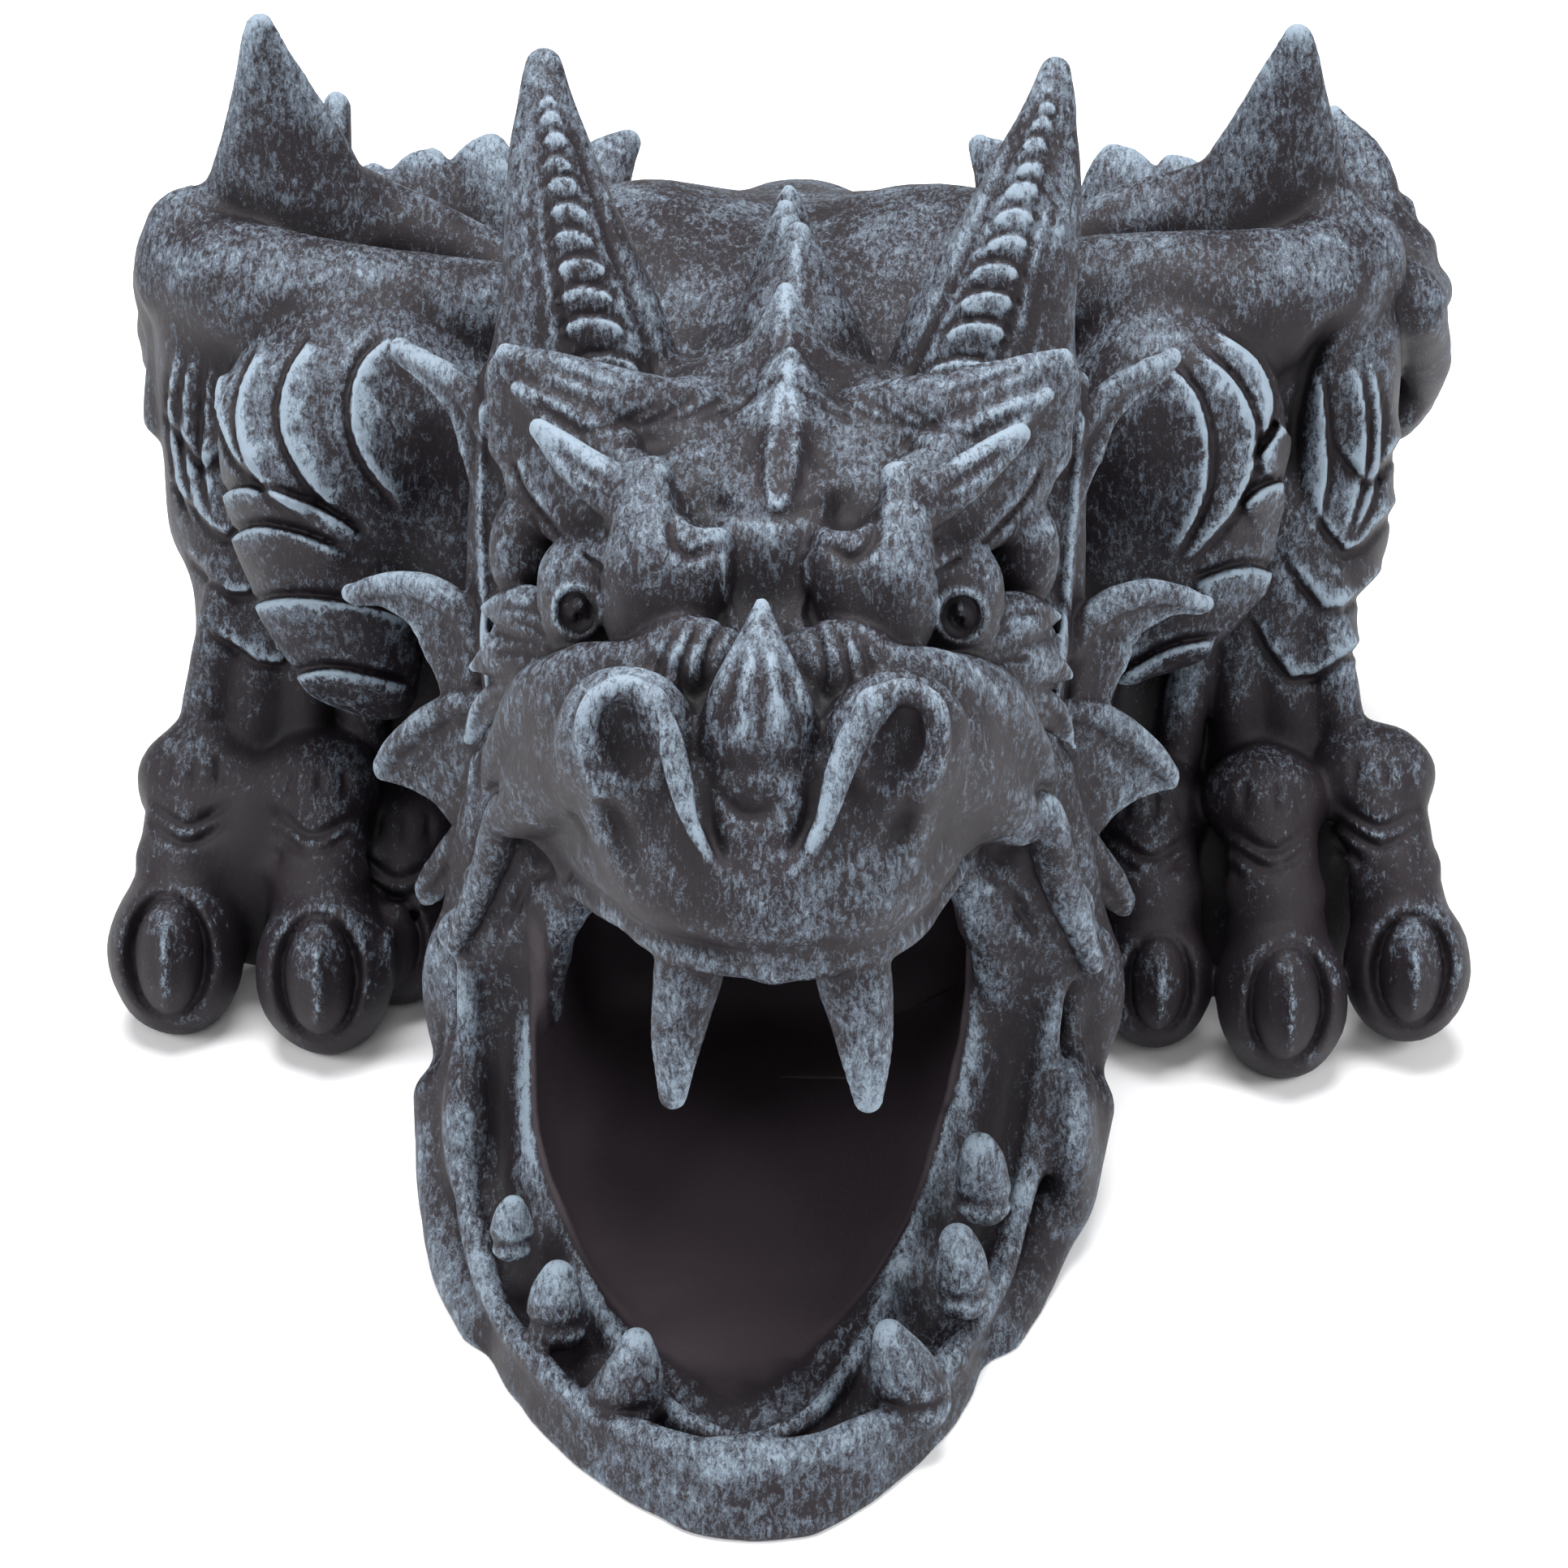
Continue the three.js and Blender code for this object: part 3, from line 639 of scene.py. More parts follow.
def press_toe(knuckle, tip, fat):
    k, t = np.array(knuckle, float), np.array(tip, float)
    middle = (k + t) / 2 + (0, -3, 1)
    body.strand([[*(k + (0, 22, -18)), 13], [*(k + (0, 4, -2)), 11], [*middle, 11],
        [*(t + (0, 6, -2)), fat - 3.2]], 5)
    body.ball(k, (14.5, 13, 11.5), melt=3)
    body.ball(middle + (0, -1, 2), (11.5, 9, 5), (20, 0, 0), melt=1.5)
    body.ball(t + (0, 0, -2), (fat * 0.95, fat, fat + 3), melt=2.5)
    body.ball(t + (0, -0.72 * fat, 3.5), (fat * 0.62, fat * 0.5, fat * 0.95), (-18, 0, 0), melt=2, cut=True)
    body.ball(t + (0, -0.52 * fat, 2), (fat * 0.46, fat * 0.52, fat * 0.82), (-14, 0, 0), melt=0.8)


def line_toe(knuckle, tip, fat):
    t, k = np.array(tip, float), np.array(knuckle, float)
    keel = [t + (0, -0.6 * fat, fat * 0.8), t + (0.5, -fat, 2), t + (0, -0.9 * fat, -fat * 0.6)]
    stroke(body, keel, 1.6, 1.5, reach=16)
    for drop in (4, 9, 15, 20):
        crease = [k + (-10, -10, 3 - drop), k + (0, -14, -2 - drop), k + (10, -10, 2 - drop)]
        stroke(body, crease, 1.4, -1.8, reach=14)
    for side in (-5, 1, 6):
        stroke(body, [k + (side, -8, 9), k + (side * 1.2, -11, 2)], 1.1, -1.0, reach=14)


for toe in TOES:
    press_toe(*toe)
body.strand([[-143, -22, 44, 10], [-126, -24, 40, 10], [-109, -24, 44, 10]], 4)
body.ball((-125, -32, 30), (16, 18, 26), melt=6)
both(lambda s: body.ball((s * 115, -14, 20), (34, 26, 26), melt=6))
for toe in TOES:
    line_toe(*toe)
weigh(body, "with paws")

# %% [markdown]
# The hind legs are tucked under the wings, and the tail curls forward beside the right one. They are
# made plainer, because they are seldom seen.

# %% Hind legs and tail
def press_hind(s):
    body.ball((s * 92, 138, 54), (34, 44, 42), melt=6)
    for i in range(3):
        x = 80 + 15 * i
        spread = 2 * (i - 1)
        body.strand(flip([[x, 128, 20, 13], [x, 104, 19, 9], [x + spread, 84, 11, 9]], s), 4)
        body.strand(flip([[x + spread, 84, 16, 4], [x + spread, 72, 6, 2]], s), 2)


both(press_hind)
tail = [[-44, 184, 88, 20], [-84, 188, 56, 18], [-124, 166, 26, 16], [-144, 120, 15, 13], [-150, 84, 11, 8],
    [-146, 62, 9, 4]]
body.strand(tail, 5, 6)
for x, y, z in ((-104, 186, 54), (-138, 156, 36), (-151, 120, 26), (-153, 94, 18)):
    body.ball((x, y, z), (4, 6, 5), melt=4)
weigh(body, "with hind legs and tail")

# %% [markdown]
# The head is modelled apart from the body, in finer clay, because nearly all the detail is here. It
# starts as a skull with a broad flat forehead, a muzzle, and a roll of flesh along each cheek.

# %% Skull and muzzle
head = Clay((-108, chin - 6, -3), (108, -26, box_high[2] + 4), 0.7)


def swing(points, s):
    """The same points on one side of the head, which leans a little to the dragon's left at the top."""
    return [[s * p[0] + 0.045 * max(p[2] - 145, 0), *p[1:]] for p in points]


def lump(centre, s, *rest, **how):
    head.ball(swing([centre], s)[0], *rest, **how)


def rod(points, s, *rest, **how):
    head.strand(swing(points, s), *rest, **how)


def draw(points, s, *rest, **how):
    stroke(head, swing(points, s), *rest, **how)


CHEEK = (
    ([[46, -98, 126, 17], [40, -124, 131, 15], [33, -152, 135, 16.5], [24, -178, 137, 16]], 6),
    ([[48, -106, 108, 13], [56, -107, 88, 11], [60, -105, 66, 11], [58, -102, 40, 14]], 8),
    ([[25, -170, 159, 4.5], [35, -162, 152, 6.5], [45, -149, 139.5, 7], [53, -135, 120, 6.5],
        [56, -127, 107, 5]], 7),
    ([[37, -164, 131, 10], [43, -153, 122, 9.5], [48, -144, 114, 8], [52, -139, 107, 5.5]], 5),
)


def press_cheek(s):
    for muscle, melt in CHEEK:
        head.strand(flip(muscle, s), melt)


head.ball((0, -84, 132), (56, 50, 50), melt=0)
head.strand([[0, -88, 164, 26], [0, -112, 162, 24], [0, -131, 161, 22]], 8)
both(lambda s: head.strand([[s * 15, -92, 166, 21], [s * 17, -114, 165, 20], [s * 17, -132, 164, 17]], 6))
head.strand([[0, -142, 146, 20], [0, -168, 144, 19], [0, -186, 138, 18]], 6)
head.ball((0, -187, 131), (32, 19, 17), melt=6)
both(press_cheek)
weigh(head, "skull")

# %% [markdown]
# The lower jaw rests on the ground. From above its lip is a pointed half ellipse; from the side it is
# low in front and sweeps up to the corners of the mouth. Rods alone would give a lumpy bowl, so the
# bowl is a formula in X and Y with its own height, and only the lip roll, the folds and the jowls are
# rods. Inside the lip runs a groove that fades towards the back, and then a broad gum.

# %% Lower jaw
LIP_HALF, LIP_BACK, LIP_TIP = 66.0, -120.0, -240.0
LIP_BOW = 1.68


def lip_height(y):
    return 13 + 81 * np.clip((y + 200) / 88, 0, 1.03) ** 3.8


def gum_height(y):
    return 11 + 36 * np.clip((y + 217) / 77, 0, 1.3) ** 2.2


def place(points, s):
    """The same points on one side, swung with the jaw."""
    return [[s * p[0] + float(lean(p[1])), *p[1:]] for p in points]


def lip_line(steps):
    """Points along one side of the lip, from the chin to the corner of the mouth."""
    points = []
    for i in range(steps + 1):
        turn = 0.5 * math.pi * i / steps
        x = LIP_HALF * math.sin(turn) ** 1.05
        y = LIP_BACK - (LIP_BACK - LIP_TIP) * max(1 - (x / LIP_HALF) ** 2, 0) ** (1 / LIP_BOW)
        points.append([x, y, float(lip_height(y))])
    return points + [[65, -116, 76], [61.5, -114, 86], [57, -113, 95]]


def press_lip_roll(s):
    line = lip_line(14)
    roll = []
    for i, (x, y, z) in enumerate(line):
        front = max(0, 1 - i / 6)
        fat = 2.7 + 0.3 * math.sin(2.1 * i) + 2.6 * front
        roll.append([x - 0.8 * fat, y + 1.2 + 2.4 * front, z - 1.2, fat])
    head.strand(place(roll, s), 2.0, 3)
    for shift, drop, back, fat in ((1.5, 15, 5, 2.8), (5.5, 25, 13, 3.4)):
        size = [0.25, 0.55, 0.85, 1, 1, 1, 0.5, 0.4]
        fold = [[x + shift, y + back, z - drop, fat * f] for f, (x, y, z) in zip(size, line[8:16])]
        head.strand(place(fold, s), 4, 3)
    head.ball((s * 70, -106, 44), (8, 10, 18), (10, 0, s * 8), melt=6)
    head.strand(flip([[58, -104, 84, 10], [61, -105, 52, 11], [61, -108, 16, 10]], s), 5)
    head.ball((s * 66, -132, 22), (6, 16, 19), melt=7)
    jowl = [[55, -176, 2, 5], [62, -158, 4, 5.5], [67, -140, 10, 6], [71, -122, 24, 6]]
    head.strand(place(jowl, s), 6)


where, (x, y, z) = head.window((-86, chin - 8, -3), (86, -50, 112))
forward = np.maximum(LIP_BACK - y, 0)
belly = 8 * np.clip(1 - z / 15, 0, 1) - 2 * np.clip(1 - z / 3, 0, 1) ** 2
wide = LIP_HALF - 3 + 1.5 * np.sin(0.06 * y + 1)
across = x - lean(y)
wall = np.sqrt((across / wide) ** 2 + (forward / (LIP_BACK - LIP_TIP + belly)) ** LIP_BOW + 1e-6) - 1
wall = wall * 62
inside = np.clip((-wall - 5) / 9, 0, 1)
inside = inside * inside * (3 - 2 * inside)
top = lip_height(y) * (1 - inside) + gum_height(y) * inside
groove = 4.2 * np.exp(-(((-wall - 8) / 3.6) ** 2)) * np.clip((-168 - y) / 40, 0.12, 1)
over = (z - top + groove + 2.0) * 0.8
jaw = soft_max(soft_max(wall, over, 3), y + 58, 4)
head.blend_in(where, jaw.astype(np.float32), 5, False)
both(press_lip_roll)
weigh(head, "with lower jaw")

# %% [markdown]
# The gum gets a thin irregular ridge along its inner edge. Then the water channel is cut through the
# head and the body with the formula from before.

# %% Cut the channel
def cut_channel(clay, low, high):
    where, (x, y, z) = clay.window(low, high)
    clay.blend_in(where, channel(x, y, z).astype(np.float32), 2.0, True)


def press_gum(s):
    edge = [[2, -226, 10, 1.4], [13, -218, 10, 1.7], [22, -203, 11, 1.5], [31, -184, 15, 1.5],
        [38, -164, 25, 1.0]]
    head.strand(place([*edge, [42.5, -148, 38, 0.6]], s), 4)


both(press_gum)
cut_channel(head, (-60, chin, 5), (60, -26, 110))
cut_channel(body, (-60, -92, 5), (60, rear + 8, 110))
weigh(head, "head, after the cut")
weigh(body, "body, after the cut")

# %% [markdown]
# Horns, brow spikes and the crest are all cones bent along a curve, so one tool makes them: a rod
# whose radius shrinks to the tip. Long grooves run up the front of each horn, and beside them a band
# of cupped scales, each overlapping the one above, drawn as short arcs that shrink with the horn.

# %% Horns and spikes
HORN = [[42, -80, 174, 22], [43.5, -76, 190, 17.8], [47.5, -70, 206, 13.6], [51, -63, 220, 9.6],
    [53.5, -55, 232, 5.8], [54.3, -50, 238.5, 3.6]]


def press_horn(s):
    rod(HORN, s, 5, 6)
    path = smooth_path(HORN, 12)
    band = [[p[0] - 0.34 * p[3], p[1] - 0.62 * p[3], p[2], 0.42 * p[3]] for p in path[6:-4:6]]
    rod(band, s, 1.5)
    for side, deep in ((-0.95, 1.2), (0.28, 1.2), (0.62, 0.8)):
        line = [[p[0] + side * p[3] * 0.8 - 0.1 * p[3], p[1] - 0.8 * p[3], p[2]] for p in path[3:-12:5]]
        draw(line, s, 1.5, -deep, reach=26, taper=0.3)
    scales = 13
    for i in range(scales):
        at = 4 + (len(path) - 12) * (i / (scales - 1)) ** 0.9
        p = path[int(at)]
        wide = p[3] * 0.42
        middle = np.array([p[0] - 0.36 * p[3] + 0.4 * math.sin(2.3 * i), p[1] - p[3], p[2] - 2])
        arc = [middle + (wide, 0, -2.4), middle + (wide * 0.7, 0, 0.2), middle + (0, 0, 1.2)]
        arc = arc + [middle + (-wide * 0.7, 0, 0), middle + (-wide, 0, -2.6)]
        line = swing(arc, s)
        stroke(head, line if s > 0 else line[::-1], 1.3 + 0.06 * p[3], 0.6 + 0.045 * p[3], reach=26,
            lap=True, taper=0.12, per=3)


def press_brow_spikes(s):
    upper = [[22, -106, 180, 11], [36, -110, 187, 9], [47, -108, 192.5, 5.6], [57.5, -104.5, 197, 1.8]]
    second = [[34, -119, 182, 6.5], [44, -118, 187.5, 4.6], [54.5, -113, 192.5, 1.5]]
    blade = [[31, -142, 182, 5.2], [37, -138, 185.3, 5.2], [43, -132, 187.8, 4.4], [48.6, -127, 190.2, 2.6]]
    rod(upper, s, 5)
    rod(second, s, 1.2)
    rod(blade, s, 1.5, flat=(SIGHT, 1.35))
    groove = [[30, -134, 186], [38, -127, 187.5], [45, -121, 189.5], [52, -116, 191.5]]
    draw(groove, s, 1.6, -2.6, reach=18)
    draw([[33, -142, 184], [40, -136, 186], [46, -131, 188.5]], s, 1.4, -1.3)
    draw([[33, -114, 192], [42, -113, 195], [51, -109, 197]], s, 1.2, -1.0)


CREST = (
    [[0.8, -22, 160, 12], [0.8, -16, 174, 8.5], [0.8, -12, 187, 5], [0.8, -10, 194, 2]],
    [[0.5, -40, 156, 15], [0.5, -34, 172, 11], [0.4, -27, 186, 6], [0.4, -22, 195, 2.2]],
    [[3, -70, 162, 22], [3.5, -63, 177, 16], [3.8, -54, 189, 9], [3.9, -46, 199, 2.6]],
    [[2, -98, 172, 15], [2, -92, 181, 12], [2, -84, 191, 7], [2, -77, 199, 2.3]],
    [[2.5, -118, 172, 12.5], [3, -112, 181, 9.5], [3.3, -104, 188, 5.6], [3.4, -98, 193, 2.4]],
    [[3, -110, 184, 4], [3, -122, 184, 4.2], [2.5, -132, 182, 3.8], [2, -140, 178, 2.5]],
)

both(press_horn)
both(press_brow_spikes)
for spike in CREST:
    head.strand(spike, 4 if spike[0][3] > 10 else 2.5)
    foot, tip = np.array(spike[0][:3]), np.array(spike[-1][:3])
    for side in (-0.55, 0.55):
        edge = [foot + (side * spike[0][3], -6, 4), (foot + tip) / 2 + (side * 5, -4, 0), tip]
        stroke(head, edge, 1.3, 0.8, reach=16, taper=0.2)
for spike in CREST[:2]:
    body.strand(spike, 4)
weigh(head, "with horns")

# %% [markdown]
# Under the spikes sits a scowl. A heavy lobe hangs over each eye and a thick column of flesh joins it
# to the forehead. These are round lumps with small melts, so that deep creases stay between them.
# Below the lobe lies the eyeball on a thin lid, and leaf-shaped tufts fan down the cheek behind it.

# %% Brows and cheeks
def press_brow(s):
    rim = [[57, -104, 192], [56, -107, 177], [52, -111, 171], [44, -124, 168], [37, -137, 168.5],
        [32, -146, 170]]
    for a, b in zip(rim, rim[1:]):
        head.web(*swing([[30, -128, 180], a, b], s), 9, 2.5)
    rod([[30, -126, 172, 11], [42, -112, 172, 12]], s, 4)
    lump([50, -114, 158], s, (8.5, 13, 13.5), (0, 0, s * 25), melt=2)
    lump([21, -150, 165.5], s, (12.8, 15, 18), (-14, s * -6, 0), melt=2)
    lump([14.5, -150, 172], s, (7.5, 11, 9.5), melt=2)
    rod([[24, -154, 173, 8.5], [25.5, -149, 179, 6.4], [25, -141, 184, 6]], s, 4)
    lump([15, -143, 184.5], s, (5.5, 10, 8.5), (-25, s * 12, 0), melt=3, cut=True)
    draw([[20.5, -152, 186], [20, -156, 180], [16, -158, 177], [10, -155, 179]], s, 1.4, -1.4)
    lump([36, -139.5, 155], s, (11.6, 12, 11.6), melt=1.2)
    lump([38, -140, 161.5], s, (9.4, 10.5, 10.5), (0, s * 8, 0), melt=3)
    lid = [[46, -134, 160, 1.2], [47, -137, 153, 1.5], [45, -143, 148.5, 1.6], [40, -147, 146.5, 1.6],
        [33, -149, 147, 1.5], [25, -149, 149.5, 1.4]]
    rod(lid, s, 1.2)


def line_brow(s):
    edge = [[54, -108, 174], [51, -112, 168.5], [43, -125, 165.5], [37, -137, 166.5], [32, -146, 168]]
    line = swing(edge, s)
    stroke(head, line[::-1] if s > 0 else line, 1.6, 2.2, lap=True, reach=12, taper=0.15)
    for i in range(4):
        fold = [[-1 + 8 * i, -98 - 4 * i, 189], [10 + 8 * i, -112 - 3 * i, 188],
            [18 + 8 * i, -120 - 2 * i, 189]]
        draw(fold, s, 1.0, -0.7, reach=14)


def press_tufts(s):
    leaves = (
        [[41, -141, 151, 6], [50, -131, 150, 6], [60, -118, 144, 1.3]],
        [[42, -144, 145, 6], [53, -131, 140, 6], [63, -116, 129, 1.3]],
        [[40, -149, 140, 5], [50, -137, 134, 5.5], [59, -124, 124, 4], [64.5, -115, 111, 1.2]],
        [[38, -154, 140, 3], [47, -143, 130, 4], [54, -130, 118, 1.2]],
    )
    for leaf in leaves:
        rod(leaf, s, 0.7, flat=(SIGHT, 1.5))
        for lift, amount in ((0.1, -1.0), (-0.45, -0.8)):
            vein = [[x, y, z + lift * r] for x, y, z, r in leaf]
            draw(vein, s, 0.9, amount, reach=10)


both(press_brow)
both(press_tufts)
both(line_brow)
head.ball((0, -157, 172), (7.5, 6, 13), (-20, 0, 0), melt=3.5, cut=True)
stroke(head, [[-11, -140, 181], [-4, -143, 179.5], [5, -143, 179.5], [12, -140, 181]], 1.8, -0.9, reach=12)
for s in (-1, 1):
    stroke(head, [[s * 7.5, -150, 176], [s * 8, -153, 168], [s * 6.5, -156, 161]], 1.2, 1.0, reach=12)
weigh(head, "with brows")

# %% [markdown]
# The nose carries a stubby horn like an arrowhead, standing over a wrinkled bridge. The nostrils are
# thin cups of flesh; each narrows downwards into a trough whose inner wall runs on to the lip.

# %% Nose
def press_bridge(s):
    lump([14.5, -168, 157], s, (13, 10, 11), melt=2)
    for i in range(3):
        x = 9 + 4.5 * i
        crease = [[x - 1, -166, 168 - i], [x + 2.5, -174, 163 - i], [x + 2, -178, 155]]
        draw(crease, s, 1.1, -1.3, reach=12)


def press_nostril(s):
    lump([26.5, -186, 150.5], s, (14.5, 13, 15.5), (0, s * 14, 0), melt=4)
    cup = [[27.7, -195.5, 161, 4.2], [26.7, -198, 156, 5.2], [22.7, -201.5, 149.5, 4.8],
        [18, -205.5, 143.5, 3]]
    rod(cup, s, 1.5, cut=True)
    outer = [[31, -197, 145, 0.9], [33.4, -196.5, 150, 1.5], [34.6, -195.5, 157, 1.9],
        [33, -193.5, 163.5, 2.2]]
    rod([*outer, [27, -192, 166, 2.4], [21.5, -194, 164, 2.6]], s, 2)
    inner = [[21.5, -194, 164, 2.6], [18, -197.5, 158.5, 2.6], [15.3, -201, 151, 2.4],
        [12, -204.5, 142, 2.1], [9, -206, 137, 1]]
    rod(inner, s, 2.5)
    trough = [[10, -204, 155], [10, -207, 148], [8, -209, 140], [6.5, -209, 135]]
    draw(trough, s, 2.2, -2.2, reach=12)
    wall = [[12, -204, 143], [9.5, -207, 137.5], [6, -208.5, 132.5], [2, -209, 130]]
    draw(wall, s, 1.8, 1.4, reach=12, taper=0.25)
    fold = [[30, -194, 143], [26, -198, 135], [21, -201, 124]]
    draw(fold, s, 2.6, -2.0, reach=16)
    draw([[38, -184, 139], [35, -188, 129], [30, -192, 118]], s, 2.4, -1.6, reach=16)


both(press_bridge)
horn = [[-0.5, -190, 152, 11], [-0.3, -187, 158, 10.5], [0, -182, 165, 7], [0, -177, 170.5, 3.6],
    [0, -173, 174.5, 1.4]]
head.strand(horn, 1.2, flat=((0, 1, 0.4), 1.5))
for x, amount in ((-7.5, -1.1), (-3.4, 0.7), (0.8, -1.0), (4.4, 0.9), (8.2, -0.9)):
    stroke(head, [[x * 0.45, -180, 168], [x * 0.8, -187, 161], [x, -193, 153]], 1.2, amount, reach=10,
        taper=0.3)
head.ball((-1, -204, 147), (8, 4, 4.5), melt=3, cut=True)
stroke(head, [[-8, -203, 151], [-3, -206, 146], [3, -206, 147]], 1.2, -1.2, reach=12)
both(press_nostril)
weigh(head, "with the nose")

# %% [markdown]
# The upper lip is a roll that sweeps up from the middle to the corner of the mouth. There it turns
# into a hooded fold, which falls down the cheek as thin skin towards the lower jaw.

# %% Upper lip
LIPS = (
    [[-40.1, -138, 90, 3], [-34, -160, 99, 3.2], [-27.6, -180, 107.5, 3.4], [-21, -195, 111.5, 3.6],
        [-11, -203, 112.5, 4], [3, -206, 112.5, 4]],
    [[40.1, -138, 97, 3], [36.4, -160, 103.5, 3.2], [31.4, -180, 107, 3.4], [24, -195, 110.5, 3.6],
        [15, -203, 112.5, 4], [3, -206, 112.5, 4]],
)
HOODS = (
    [[-40.5, -138, 88, 2.4], [-42.6, -140, 98.5, 3.4], [-48, -140.5, 106.5, 4.2], [-52, -139.5, 109.5, 4.6],
        [-56, -136.5, 104, 4.2], [-58.5, -134, 94, 3.8], [-62.5, -131, 82, 3.4], [-68, -126, 66, 2.6]],
    [[39.5, -138, 94, 2.4], [42, -140, 103.5, 3.4], [49, -140.5, 109.5, 4.4], [55, -139.5, 111, 4.8],
        [59, -137, 104.5, 4.4], [61, -134, 92, 4], [65.5, -131, 78, 3.6], [69.5, -126, 64, 2.8]],
)


def press_lip():
    for s, edge, hood in zip((-1, 1), LIPS, HOODS):
        head.strand([[x * 0.86, y + 5, z + 12, 12] for x, y, z, _ in edge], 5)
        head.strand(edge, 2.5)
        corner, fall = edge[0][:3], hood[-1][:3]
        for a, b in zip(hood[1:], hood[2:]):
            head.web(np.array(corner) + (0, 4, -4), np.array(a[:3]) + (0, 6, 0),
                np.array(b[:3]) + (0, 6, 0), 6, 3)
        free = [np.array(corner) + (0, 3, -1), (s * 44, -133, 79), (s * 47.5, -129, 66),
            (s * 49.5, -126, 50)]
        for a, b in zip(free, free[1:]):
            head.web(a, b, np.array(fall) + (0, 5, 0), 6, 4)
        head.strand([[*p, 2.4] for p in free], 5)
        head.ball((s * 49, -139, 97), (5, 6.5, 7.5), (0, s * 10, 0), melt=2.5, cut=True)
        head.strand(hood, 1.5)
        beyond = [[x + s * 4.5, y + 4, z + 1.5] for x, y, z, _ in hood[2:6]]
        stroke(head, beyond, 1.6, -1.6, reach=12)
        for shift in (0, 4):
            wrinkle = [[s * (46 + shift), -136, 91 - shift], [s * (51 + shift), -133, 86 - 2 * shift]]
            stroke(head, [*wrinkle, [s * (55 + shift), -129, 77 - 2 * shift]], 1.3, -1.0, reach=12)
        for x, y, z in ((36, -158, 128), (31, -172, 124), (25, -184, 120)):
            fold = [[x, y, z + 5], [x + 3, y + 4, z - 2], [x + 2, y + 5, z - 10]]
            draw(fold, s, 1.8, -0.9, reach=14)
    stroke(head, [[-20, -204, 118], [0, -209, 117], [22, -204, 118]], 2.0, -1.0, reach=14)


press_lip()
weigh(head, "with the lip")

# %% [markdown]
# The eye is carved last: a cup with a small egg in it, a hole for the pupil with a glint of stone, and
# a fine ring around the whole.

# %% Eyes
def line_eye(s):
    front = np.array(swing([[38.8, -150, 160.5]], s)[0])
    head.ball(front, (4.2, 2.6, 5.2), (-15, 0, 0), melt=0.6, cut=True)
    head.ball(front + (0, 2.3, 0), (2.9, 1.8, 3.7), (-15, 0, 0), melt=0.3)
    head.ball(front + (s * -0.4, 1.2, -1.6), (1.0, 1.6, 1.2), melt=0.2, cut=True)
    head.ball(front + (s * -0.4, 0.9, 1.0), (1.1, 1.1, 1.2), melt=0.3)
    ring = [front + (5.0 * math.cos(a), -0.5, 6.0 * math.sin(a)) for a in np.linspace(0, 2 * math.pi, 13)]
    stroke(head, ring, 0.9, 0.9, reach=9, taper=0)


both(line_eye)
weigh(head, "with eyes")

# %% [markdown]
# Two fangs hang from the upper lip and blunt teeth stand along the gum. Both are cones with a round
# point, set slightly crooked so that no two are alike.

# %% Teeth
FANGS = (
    [[-13, -193, 114, 7], [-14.2, -198, 104, 7.2], [-16, -201.5, 93, 5.6], [-17, -205, 80, 2.8]],
    [[17, -193, 114, 7], [19.2, -198, 104, 7.2], [21.2, -201.5, 93, 5.6], [22.3, -205, 80, 2.8]],
)
TEETH = (
    [[-28, -216, 12, 7.5], [-25.5, -216, 18, 6.4], [-24.5, -215, 26, 3.4]],
    [[-42.5, -195, 17, 6.4], [-42.5, -195, 23, 5.4], [-42, -194, 27, 3.6]],
    [[-53, -177, 25, 5], [-53, -177, 30, 4], [-52.5, -177, 33, 2.6]],
    [[32, -213, 12, 8], [29.5, -213, 19, 6.8], [27, -213, 28, 3.2]],
    [[42, -189, 22, 6.2], [41.5, -188, 29, 5.0], [41, -187, 33, 3.4]],
    [[46.5, -169, 32, 6.0], [46, -168, 39, 5.0], [45.5, -168, 43, 3.6]],
)

for fang in FANGS:
    head.strand(fang, 1.8)
for tooth in TEETH:
    head.strand(tooth, 2.0)
    x, y, z, _ = tooth[0]
    ring = [[x + 8 * math.cos(a), y + 8 * math.sin(a), z + 3] for a in np.linspace(3.5, 6, 5)]
    stroke(head, ring, 1.6, -1.2, reach=12)
print(len(FANGS), "fangs and", len(TEETH), "teeth")

# %% [markdown]
# The frill is a strap of skin beside the cheek, with a groove between the two, and it throws out
# curved lobes. Each has a thick rim above and a thin lower edge. A flattened rod would have no hollow
# edge, so a lobe is a ribbon of triangles between the two lines, with a rod along the rim.

